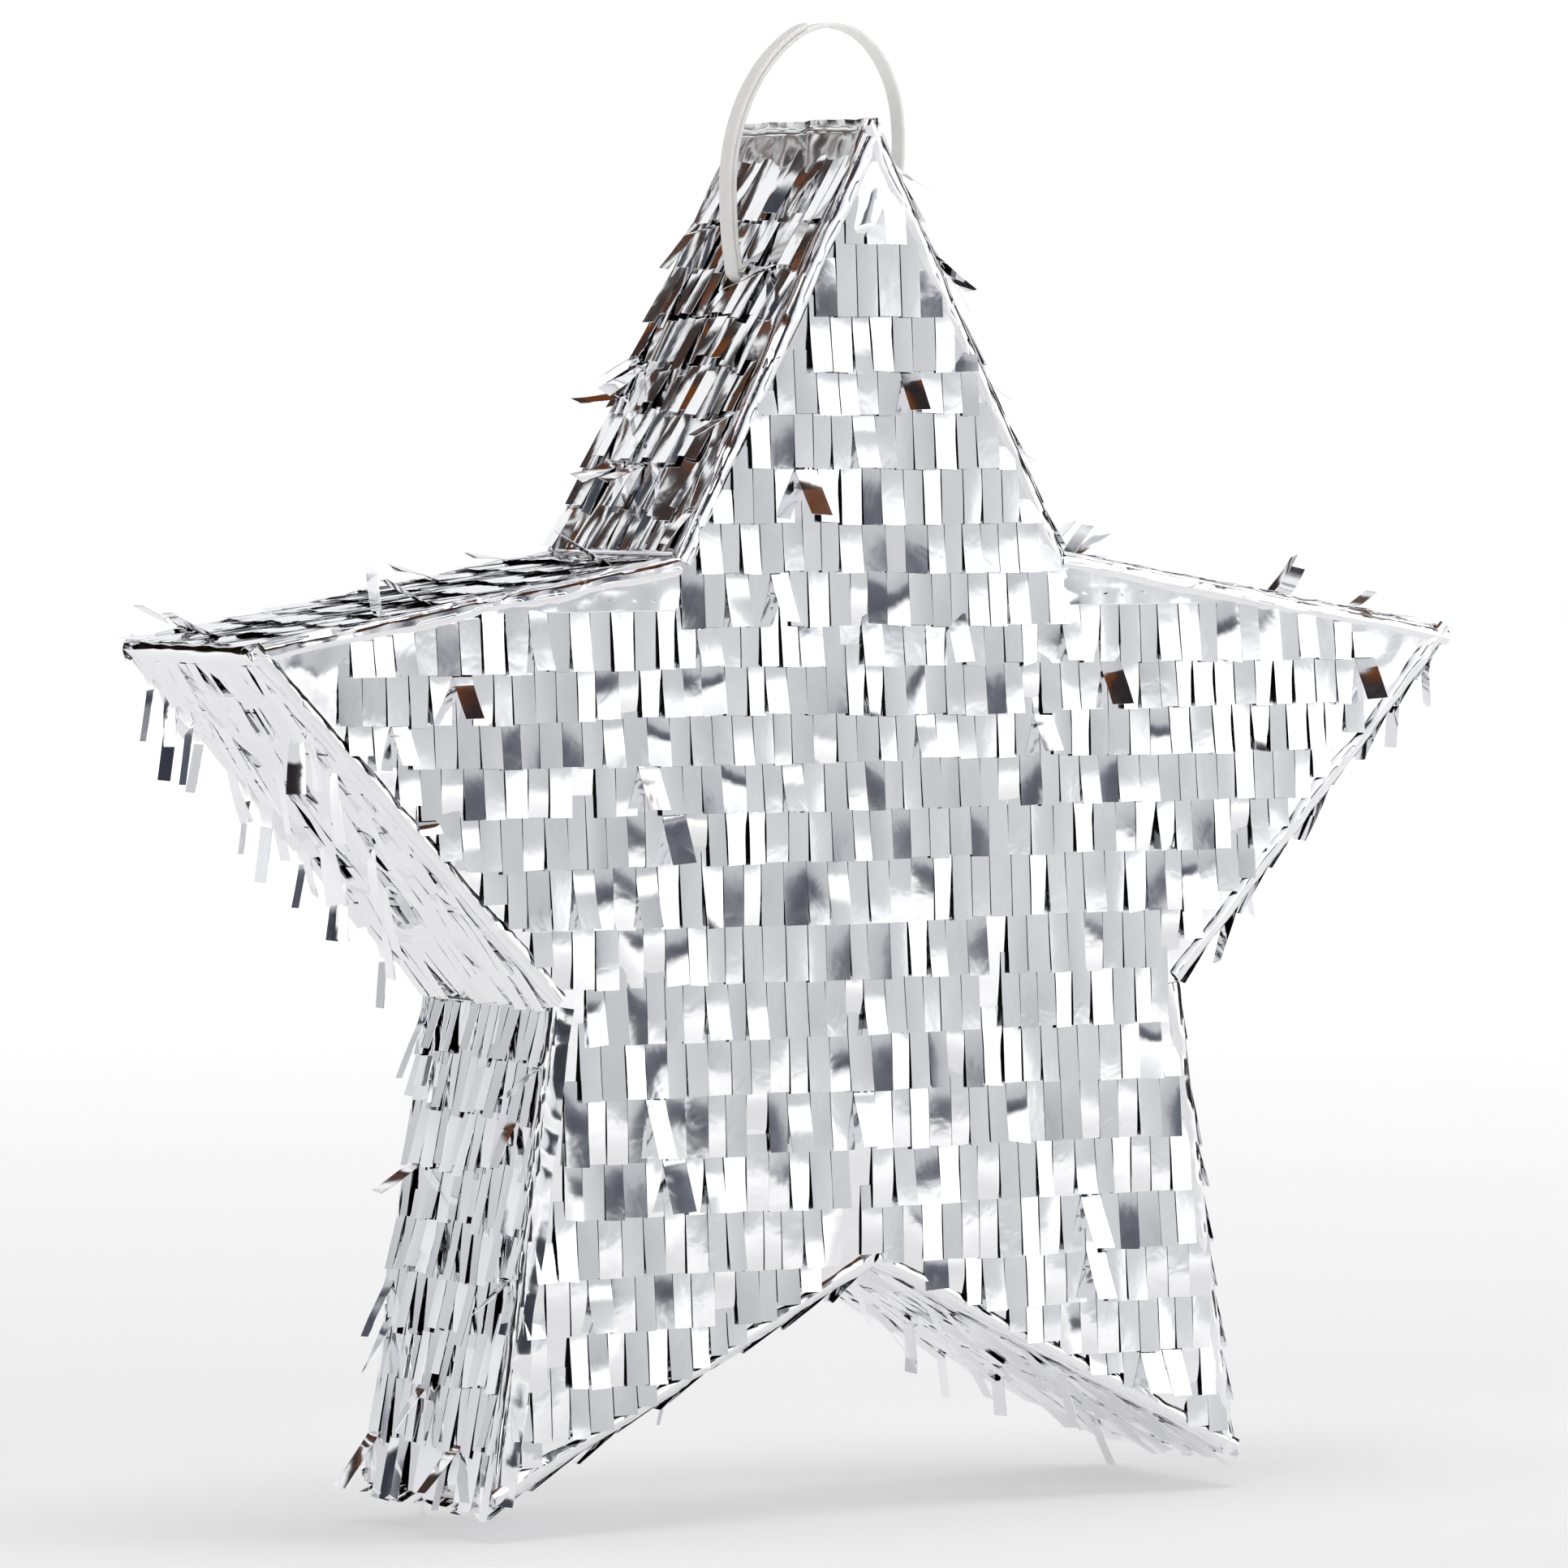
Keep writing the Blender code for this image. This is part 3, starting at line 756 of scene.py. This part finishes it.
def wall_face(tip, valley):
    """A wall's face with its origin at the wall's upper end; down runs downhill."""
    along = valley - tip
    outward = Vector((-along.z, 0, along.x)).normalized()
    middle = Vector((0, 0, CENTRE_Z))
    if outward.dot(tip - middle) < 0:
        outward.negate()
    upper = tip if tip.z > valley.z else valley
    lower = valley if tip.z > valley.z else tip
    return Face(upper, lower - upper, outward), along.length


def wall_look(tip, valley):
    """Which of SIDE_LOOKS a wall has."""
    if tip.z > CENTRE_Z + STAR_RADIUS * 0.9:
        return "top"
    if tip.z > CENTRE_Z:
        return "shoulder" if valley.z > tip.z else "under"
    return "crotch" if abs(valley.x) < 0.001 else "outer"


def strap_hole_fall(face):
    """How far down a wall the strap's hole is."""
    return (face.origin.z - SWING_AXIS_Z) / -face.down.z


def add_loose_strips(ribbons, face, side, wall):
    for entry in LOOSE_STRIPS:
        if entry[:2] != (side, wall):
            continue
        fall, across, length = (value / 1000 for value in entry[2:5])
        hang = Hang()
        hang.lift, hang.curl, hang.turn = entry[5:]
        add_strip(ribbons, face, across, fall - LOOSE_GLUED, fall, length, SIDE_STRIP, hang, 6)


def make_side_rows():
    for index, name in enumerate(SIDE_NAMES):
        ribbons = Ribbons()
        draw = random.Random("side" + name)
        for wall, (tip, valley) in enumerate(side_walls(index)):
            face, length = wall_face(tip, valley)
            channel = 20 + 4 * index + 2 * wall
            add_wall_rows(ribbons, face, length, wall_look(tip, valley), channel, draw)
            add_loose_strips(ribbons, face, name, wall)
        piece = ribbons.piece("side_strips_" + name, SIDE_FOIL, "star_body")
        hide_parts("side_fringe_" + name)


def add_wall_rows(ribbons, face, length, look, channel, draw):
    pitch = length / SIDE_ROWS
    hole = strap_hole_fall(face)
    highest = 0.0045 if look == "under" else 0.001
    for row in range(1 if look == "top" else 0, SIDE_ROWS):
        bottom = (row + 1) * pitch
        x = -DEPTH / 2 + 0.0006
        while x < DEPTH / 2 - SIDE_STRIP * 0.6:
            width = min(SIDE_STRIP * draw.uniform(*SIDE_WIDTHS), DEPTH / 2 - 0.0004 - x)
            centre = x + width / 2
            x += width
            hang = side_hang(draw, look, centre, row, channel)
            top = max(highest, bottom - pitch * (1 + HIDDEN))
            pressed = max(top, bottom - pitch)
            end = bottom + draw.gauss(*SIDE_LONGER)
            if row == SIDE_ROWS - 1:
                end = bottom + (-0.0012 if look in ("top", "under") else draw.uniform(0.0, 0.004))
            beside_strap = look == "top" and abs(centre) < STRAP_CLEARANCE + width / 2
            if beside_strap and top < hole < end:
                if pressed < hole - STRAP_CLEARANCE - 0.002:
                    end = hole - STRAP_CLEARANCE
                else:
                    top = pressed = hole + STRAP_CLEARANCE
            if end - pressed > 0.002:
                add_strip(ribbons, face, centre, top, pressed, end - pressed, width - SLIT, hang, 3)


# Plain foil under the fringe, and the crumpled edges


def crumple(spot, size):
    """Crushed foil's height at a spot, from 0 to about 1: soft bumps between sharp creases."""
    broad = abs(noise.noise(spot * (1 / size)))
    fine = abs(noise.noise(spot * (2.7 / size) + Vector((5.1, 2.3, 9.7))))
    return broad + 0.45 * fine


def fade(distance, reach):
    """1 where distance is 0, and 0 from reach on."""
    return max(0.0, 1.0 - distance / reach)


def finish_sheet(bm, name, body):
    """Makes a thin closed piece of plain foil from an open sheet."""
    bmesh.ops.recalc_face_normals(bm, faces=bm.faces)
    mesh = bpy.data.meshes.new(name)
    bm.to_mesh(mesh)
    bm.free()
    piece = add_piece(name, mesh, WRAP_FOIL, body)
    solid = piece.modifiers.new("thickness", "SOLIDIFY")
    solid.thickness = FOIL
    solid.offset = -1


def cut_sheet(bm, axis, place):
    """Cuts the sheet's faces along the plane across axis at place."""
    bmesh.ops.bisect_plane(bm, geom=bm.verts[:] + bm.edges[:] + bm.faces[:],
                           plane_co=axis * place, plane_no=axis, dist=1e-6)


def grid_cut(bm, axis, low, high, cell):
    for step in range(1, int((high - low) / cell)):
        cut_sheet(bm, axis, low + step * cell)


def make_face_wrap(name, face_y, out_y, cell, body="star_body"):
    """The plain foil glued over the whole front or back, or over the flap: smooth with a few soft
    dents, and wrinkled along the edges and at the points."""
    on_front = out_y < 0
    bm = bmesh.new()
    if body == "flap":
        low, high = FLAP_BOX
        corners = ((low.x, low.z), (high.x, low.z), (high.x, high.z), (low.x, high.z))
        bm.faces.new([bm.verts.new((x, 0, z)) for x, z in corners])
    else:
        bm.faces.new([bm.verts.new(point) for point in star_points(FOIL_RADIUS)])
    grid_cut(bm, AXIS_X, -FOIL_RADIUS, FOIL_RADIUS, cell)
    grid_cut(bm, AXIS_Z, PANEL_LOW.z - SKIN, PANEL_HIGH.z + 2 * SKIN, cell)
    if on_front:
        split_header(bm)
    elif body == "star_body":
        cut_flap_opening(bm)
    leans = [header_lean(vert) if on_front else 0.0 for vert in bm.verts]
    for vert, lean in zip(bm.verts, leans):
        height = vert.co.z - CENTRE_Z
        inset = margin_inside(vert.co.x, height)
        from_tip = FOIL_RADIUS - math.hypot(vert.co.x, height)
        past_fold = min(1.0, max(0.0, (inset - FOLD_WIDTH) / FOLD_BLEND))
        loose = 0.9 * fade(abs(inset - WRINKLE_LINE), WRINKLE_REACH)
        loose += 1.8 * fade(from_tip, TIP_REACH) * past_fold
        rise = WRINKLE_HEIGHT * loose * crumple(vert.co, WRINKLE_SIZE)
        if body == "star_body":
            rise += DENT_HEIGHT * noise.noise(vert.co * 30.0)
        if on_front and height > FOIL_RADIUS - APEX_FACET:
            rise += CREASE_HEIGHT * fade(abs(vert.co.x - APEX_CREASE), CREASE_REACH) * past_fold
        vert.co.y = face_y + out_y * (HEADER_HEIGHT + FOIL + max(0.0, rise) + lean)
    finish_sheet(bm, name, body)


def split_header(bm):
    """Cuts the front's foil along the arms' first slits, so that the part above can lean out."""
    line = CENTRE_Z + HEADER_CUT
    cut_sheet(bm, AXIS_Z, line)
    cut = []
    for edge in bm.edges:
        start, end = (vert.co for vert in edge.verts)
        level = abs(start.z - line) < 2e-5 and abs(end.z - line) < 2e-5
        if level and abs(start.x + end.x) / 2 > ARM_START:
            cut.append(edge)
    bmesh.ops.split_edges(bm, edges=cut)


def header_lean(vert):
    """How far the arms' plain foil stands out at one of its corners."""
    line = CENTRE_Z + HEADER_CUT - 0.0001
    above = any(face.calc_center_median().z > line for face in vert.link_faces)
    beyond = abs(vert.co.x) - ARM_START
    if not above or vert.co.z < line or beyond < 0:
        return 0.0
    inset = max(0.0, margin_inside(vert.co.x, vert.co.z - CENTRE_Z) - 0.0015)
    return inset * HEADER_LEAN * min(1.0, beyond / HEADER_BLEND)


def cut_flap_opening(bm):
    """Opens the back's foil round the flap."""
    gap = Vector((OPENING_GAP, 0, OPENING_GAP))
    low, high = FLAP_BOX[0] - gap, FLAP_BOX[1] + gap
    for axis, place in ((AXIS_X, low.x), (AXIS_X, high.x), (AXIS_Z, low.z), (AXIS_Z, high.z)):
        cut_sheet(bm, axis, place)
    inside = []
    for face in bm.faces:
        middle = face.calc_center_median()
        if low.x < middle.x < high.x and low.z < middle.z < high.z:
            inside.append(face)
    bmesh.ops.delete(bm, geom=inside, context="FACES")


def make_wall_wraps():
    """Plain foil on each wall, wrinkled most near the points."""
    for index, name in enumerate(SIDE_NAMES):
        for wall, (tip, valley) in enumerate(side_walls(index)):
            bm = wall_sheet(tip, valley)
            if wall_look(tip, valley) == "top":
                punch_hole(bm)
            finish_sheet(bm, f"wall_foil_{name}_{wall + 1}", "star_body")


def wall_sheet(tip, valley):
    """A wall's wrinkled sheet, as a grid of faces."""
    steps_along, steps_across = 30, 16
    face, length = wall_face(tip, valley)
    at_top = (face.origin - tip).length < 1e-6
    bm = bmesh.new()
    grid = []
    for row in range(steps_along + 1):
        fall = length * row / steps_along
        from_tip = fall if at_top else length - fall
        size = WALL_WRINKLE_HEIGHT * (0.3 + 1.4 * fade(from_tip, WALL_TIP_REACH))
        line = []
        for column in range(steps_across + 1):
            x = DEPTH * (column / steps_across - 0.5)
            rise = size * crumple(face.spot(x, fall, 0), WALL_WRINKLE_SIZE)
            line.append(bm.verts.new(face.spot(x, fall, HEADER_HEIGHT + rise)))
        grid.append(line)
    for upper, lower in zip(grid, grid[1:]):
        for left in range(steps_across):
            bm.faces.new((upper[left], lower[left], lower[left + 1], upper[left + 1]))
    return bm


def punch_hole(bm):
    """Opens the foil where the strap goes through."""
    hole = Vector((0, SWING_AXIS_Z))
    inside = [face for face in bm.faces
              if (face.calc_center_median().yz - hole).length < FOIL_HOLE]
    bmesh.ops.delete(bm, geom=inside, context="FACES")


def make_edge_folds():
    """Foil folded and crushed round each edge between the front or back and the walls."""
    star = star_points(FOIL_RADIUS)
    for label, face_y, out_y in (("front", FRONT_Y, -1), ("back", BACK_Y, 1)):
        ribbons = Ribbons()
        for start, end in zip(star, star[1:] + star[:1]):
            add_fold(ribbons, start, end, face_y, out_y)
        ribbons.piece(f"edge_foil_{label}", WRAP_FOIL, "star_body", sharp=28)


def add_fold(ribbons, start, end, face_y, out_y):
    """The fold along one edge, from one of the star's corners to the next."""
    steps = 70
    face_out = Vector((0, out_y, 0))
    along = (end - start).normalized()
    outward = Vector((-along.z, 0, along.x))
    if outward.dot(start + end - Vector((0, 0, 2 * CENTRE_Z))) < 0:
        outward.negate()
    # the outer edge of the left leg on the front, and of the right leg on the back
    leg_side = outward.x * out_y > 0.2 and abs(outward.z) < 0.3
    rows = []
    for step in range(steps + 1):
        base = start.lerp(end, step / steps) + Vector((0, face_y, 0))
        wide = 1.0 + 0.45 * noise.noise(base * 45.0)
        cross = [(base - outward * (inward * wide) + face_out * height, face_out)
                 for inward, height in (SLOPED_PROFILE if leg_side else EDGE_PROFILE)]
        cross.append((base, (face_out + outward).normalized()))
        cross += [(base - face_out * inward + outward * height, outward)
                  for inward, height in reversed(EDGE_PROFILE)]
        rows.append([(crush(point, normal, out_y), normal) for point, normal in cross])
    if along.cross(face_out).dot(outward) > 0:
        rows = [list(reversed(row)) for row in rows]
    ribbons.add(rows, FOIL)


def crush(point, normal, out_y):
    """Moves a point of the folded edge: pinched ridges run across the fold. The front's and the
    back's ridges differ."""
    spot = point + Vector((0.0, 0.013 if out_y < 0 else 0.37, 0.0))
    push = PINCH_HEIGHT * (crumple(spot, PINCH_SIZE) - 0.3)
    slide = Vector((noise.noise(spot * 75.0), noise.noise(spot * 68.0 + Vector((3, 1, 4))),
                    noise.noise(spot * 82.0 + Vector((1, 5, 9)))))
    return point + normal * push + slide * PINCH_SLIDE


# Hanging loop


def arc(centre, radius, start, end, steps=10):
    """Points round part of a circle, between two angles in degrees."""
    points = []
    for step in range(steps + 1):
        angle = math.radians(start + (end - start) * step / steps)
        points.append(Vector((centre[0] + radius * math.cos(angle), 0,
                              centre[1] + radius * math.sin(angle))))
    return points


def smooth_curve(points, steps):
    """A Catmull-Rom curve through the points."""
    result = []
    padded = [points[0]] + points + [points[-1]]
    for before, start, end, after in zip(padded, padded[1:], padded[2:], padded[3:]):
        for step in range(steps):
            t = step / steps
            result.append(0.5 * (2 * start + (end - before) * t
                                 + (2 * before - 5 * start + 4 * end - after) * t ** 2
                                 + (3 * start - before - 3 * end + after) * t ** 3))
    result.append(points[-1])
    return result


def run_lengths(points):
    lengths = [0.0]
    for start, end in zip(points, points[1:]):
        lengths.append(lengths[-1] + (end - start).length)
    return lengths


def even_spacing(points, spacing):
    """The same path with points at even distances."""
    lengths = run_lengths(points)
    count = round(lengths[-1] / spacing)
    result = []
    index = 0
    for step in range(count + 1):
        distance = lengths[-1] * step / count
        while index < len(points) - 2 and lengths[index + 1] < distance:
            index += 1
        span = max(lengths[index + 1] - lengths[index], 1e-9)
        result.append(points[index].lerp(points[index + 1], (distance - lengths[index]) / span))
    return result


def path_normals(points):
    """At each point, the direction that points to the left of the way the path runs."""
    normals = []
    for index in range(len(points)):
        ahead = points[min(index + 1, len(points) - 1)] - points[max(index - 1, 0)]
        normals.append(Vector((-ahead.z, 0, ahead.x)).normalized())
    return normals


def tie_paths():
    """The strap's middle line round the loop, and its doubled tail; heights from the holes."""
    left_bend = arc((-BEND_START, TIE_LEVEL + BEND_RADIUS), BEND_RADIUS, 270, 180)
    right_bend = arc((BEND_START, TIE_LEVEL + BEND_RADIUS), BEND_RADIUS, 0, -90)
    arch = [Vector((x, 0, height)) for x, height in TIE_ARCH]
    arch = smooth_curve(left_bend[-1:] + arch + right_bend[:1], 10)
    loop = left_bend[:-1] + arch + right_bend[1:]
    doubled = loop[:next(i for i, spot in enumerate(loop) if spot.x > TAIL_END_X)]
    sideways = path_normals(doubled)
    tail = [spot + side * TAIL_LIFT for spot, side in zip(doubled, sideways)]
    head_in = Vector((TIE_HEAD_CENTRE, 0, -TIE_LEVEL))
    loop = [Vector((TIE_HEAD_CENTRE, 0, TIE_LEVEL))] + loop + [head_in]
    tail = [head_in, Vector((-BEND_START, 0, -TIE_LEVEL))] + tail[1:]
    return loop, tail


def strap_rows(points, tapered):
    """Cross rows of one strap, with rounded sides and a ladder of teeth on its inner face."""
    spaced = even_spacing(points, TOOTH_PITCH / 4)
    lengths = run_lengths(spaced)
    rows = []
    for index, (spot, normal) in enumerate(zip(spaced, path_normals(spaced))):
        left_over = lengths[-1] - lengths[index]
        half = TIE_WIDTH / 2
        if tapered and left_over < half:
            half *= max(0.25, math.sqrt(max(0.0, 1 - (1 - left_over / half) ** 2)))
        ring = []
        for across, height in STRAP_SECTION:
            lift = TIE_THICKNESS / 2 * height
            if abs(across) < TOOTH_HALF and height < 0 and index % 4 < 2:
                lift += TOOTH_DEPTH
            ring.append(spot + Vector((0, across * half, 0)) + normal * lift)
        rows.append(ring)
    return rows


def loft(bm, rows):
    """A closed tube through the rows."""
    rings = [[bm.verts.new(point) for point in row] for row in rows]
    count = len(rings[0])
    for upper, lower in zip(rings, rings[1:]):
        for index in range(count):
            bm.faces.new((upper[index], upper[(index + 1) % count],
                          lower[(index + 1) % count], lower[index]))
    bm.faces.new(rings[0])
    bm.faces.new(rings[-1])


def make_tie():
    loop, tail = tie_paths()
    bm = bmesh.new()
    loft(bm, strap_rows(loop, False))
    loft(bm, strap_rows(tail, True))
    head = bmesh.ops.create_cube(bm, size=1.0)["verts"]
    place = Matrix.Translation((TIE_HEAD_CENTRE, 0, 0)) @ Matrix.Diagonal((*TIE_HEAD, 1.0))
    bmesh.ops.transform(bm, verts=head, matrix=place)
    bmesh.ops.bevel(bm, geom=list({edge for vert in head for edge in vert.link_edges}),
                    offset=HEAD_BEVEL, segments=2, affect="EDGES")
    bmesh.ops.recalc_face_normals(bm, faces=bm.faces)
    bmesh.ops.translate(bm, verts=bm.verts, vec=(0, 0, SWING_AXIS_Z))
    mesh = bpy.data.meshes.new("cable_tie")
    bm.to_mesh(mesh)
    bm.free()
    tie = add_piece("cable_tie", mesh, NYLON, "hanging_loop", sharp=30)
    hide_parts("hanging_tie")


# Cardboard


def finish_cardboard():
    for name in frame["nodes"]:
        if name.startswith("side_wall") or name in ("front_panel", "back_panel", "fill_flap"):
            node = frame["nodes"][name]
            node.data.materials.clear()
            node.data.materials.append(CARDBOARD)


# Stage


def aim(thing, azimuth, elevation, target, distance):
    """Stands a camera or a light off from target and turns it there. Angles are in degrees;
    azimuth 0 is in front of the star and 90 to the right."""
    around, up = math.radians(azimuth), math.radians(elevation)
    direction = Vector((math.sin(around) * math.cos(up), -math.cos(around) * math.cos(up),
                        math.sin(up)))
    thing.location = target + direction * distance
    thing.rotation_euler = direction.to_track_quat("Z", "Y").to_euler()
    bpy.context.scene.collection.objects.link(thing)


def make_camera():
    data = bpy.data.cameras.new("camera")
    data.sensor_width = SENSOR
    data.lens = FOCAL_OVER_FRAME * SENSOR
    data.clip_end = 50.0
    camera = bpy.data.objects.new("camera", data)
    aim(camera, VIEW_AZIMUTH, VIEW_ELEVATION, VIEW_TARGET, VIEW_DISTANCE)
    bpy.context.scene.camera = camera


def make_softboxes():
    for name, azimuth, elevation, distance, width, height, power in SOFTBOXES:
        data = bpy.data.lights.new(name, "AREA")
        data.shape = "RECTANGLE"
        data.size = width
        data.size_y = height
        data.energy = power
        light = bpy.data.objects.new(name, data)
        aim(light, azimuth, elevation, Vector((0, 0, CENTRE_Z)), distance)


def band_stops():
    """Ramp stops for the room's bands, each with a short soft edge."""
    stops = []
    start = -180.0
    for end, first, last in ROOM_BANDS:
        stops.append((0.5 + (start + BAND_EDGE) / 360, first))
        stops.append((0.5 + (end - BAND_EDGE) / 360, last))
        start = end
    return stops


def make_world():
    """The studio that the foil mirrors: pale, bright and dark upright bands all round, a row of
    lamps in front, and a dark warm ceiling with lit patches and a skylight. The camera itself sees
    plain white."""
    world = bpy.data.worlds.new("studio")
    bpy.context.scene.world = world
    graph = Graph(world)
    graph.nodes.clear()
    way = graph.add("TexCoord", "Generated")
    side, depth, rise = (graph.add("SeparateXYZ", axis, {0: way}) for axis in "XYZ")
    wobble = graph.calc("SUBTRACT", graph.noise(way, 5.0), 0.5)
    turn = graph.calc("ARCTAN2", side, graph.calc("MULTIPLY", depth, -1.0))
    around = graph.calc("ADD", 0.5, graph.calc("DIVIDE", turn, 2 * math.pi))
    room = graph.bands(graph.plus(around, wobble, 0.03), *band_stops())
    in_front = graph.bands(graph.calc("MULTIPLY_ADD", depth, 0.5), (0.38, WHITE), (0.48, BLACK))
    lamps = graph.bands(rise, (0.16, BLACK), (0.20, WHITE), (0.29, WHITE), (0.34, BLACK))
    room = graph.mix(graph.calc("MULTIPLY", lamps, in_front), room, (*BRIGHT, 1.0))
    patches = graph.noise(way, 5.4, detail=0.0, distortion=0.4)
    ceiling = graph.bands(
        patches, (0.29, NAVY), (0.31, WHITE), (0.36, WHITE), (0.37, DARK), (0.41, UMBER),
        (0.47, UMBER), (0.48, BROWN), (0.52, BROWN), (0.53, UMBER), (0.56, DARK), (0.58, WHITE),
        (0.62, WHITE), (0.63, DARK), (0.69, UMBER), (0.72, WHITE))
    front_ceiling = graph.bands(patches, (0.37, DARK), (0.41, BROWN), (0.64, BROWN), (0.68, DARK))
    ceiling = graph.mix(in_front, ceiling, front_ceiling)
    skylight = graph.bands(graph.plus(rise, depth, 0.2), (0.80, BLACK), (0.84, WHITE))
    sky = graph.bands(patches, (0.0, WHITE), (0.36, PALE), (0.40, NAVY), (0.44, LIGHT),
                      (0.50, GREY), (0.53, BRIGHT), (0.60, BRIGHT), (0.63, UMBER), (0.66, LIGHT),
                      (1.0, WHITE))
    ceiling = graph.mix(skylight, ceiling, sky)
    # the dark ceiling begins lower behind the star than in front of it
    height = graph.plus(graph.plus(rise, depth, 0.24), wobble, 0.16)
    above = graph.bands(height, (0.53, BLACK), (0.56, WHITE))
    room = graph.mix(above, room, ceiling)
    output = graph.nodes.new("ShaderNodeOutputWorld")
    graph.fill(output, {"Surface": graph.add("MixShader", 0, {
        "Fac": graph.add("LightPath", "Is Camera Ray"),
        1: graph.add("Background", 0, {"Color": room, "Strength": 1.0}),
        2: graph.add("Background", 0, {"Color": (1.0, 1.0, 1.0, 1.0), "Strength": BACKDROP}),
    })})


def make_floor():
    """A plain pale floor under the hanging star. It glows a little far away and behind the star,
    so that it meets the white backdrop without a line."""
    bpy.ops.mesh.primitive_plane_add(size=FLOOR_SIZE, location=(0, 0, FLOOR_Z))
    floor = bpy.context.object
    floor.name = "studio_floor"
    material, graph, shader, coords = start_material("pale_floor")
    reach = graph.add("VectorMath", "Value", {0: coords}, operation="LENGTH")
    depth = graph.add("SeparateXYZ", "Y", {0: coords})
    behind = graph.spread(depth, FRONT_GLOW, FLOOR_GLOW, -0.45, -0.12)
    around = graph.spread(reach, FRONT_GLOW, FLOOR_GLOW, 0.9, 2.4)
    far = graph.spread(reach, 0.0, FAR_GLOW, 0.3, 2.6)
    graph.fill(shader, {
        "Base Color": (0.80, 0.80, 0.80, 1.0),
        "Roughness": 0.8,
        "Specular IOR Level": 0.0,
        "Emission Color": (1.0, 1.0, 1.0, 1.0),
        "Emission Strength": graph.calc("ADD", graph.calc("MAXIMUM", behind, around), far),
    })
    floor.data.materials.append(material)


bpy.context.scene.view_settings.view_transform = "Standard"
make_camera()
make_rows("front", front_row)
make_rows("back", back_rows)
make_flap_rows()
make_side_rows()
make_face_wrap("foil_wrap_front", FRONT_Y, -1, FRONT_CELL)
make_face_wrap("foil_wrap_back", BACK_Y, 1, BACK_CELL)
make_face_wrap("foil_wrap_flap", FLAP_BOX[1].y, 1, BACK_CELL, "flap")
make_wall_wraps()
make_edge_folds()
make_tie()
finish_cardboard()
make_world()
make_floor()
make_softboxes()
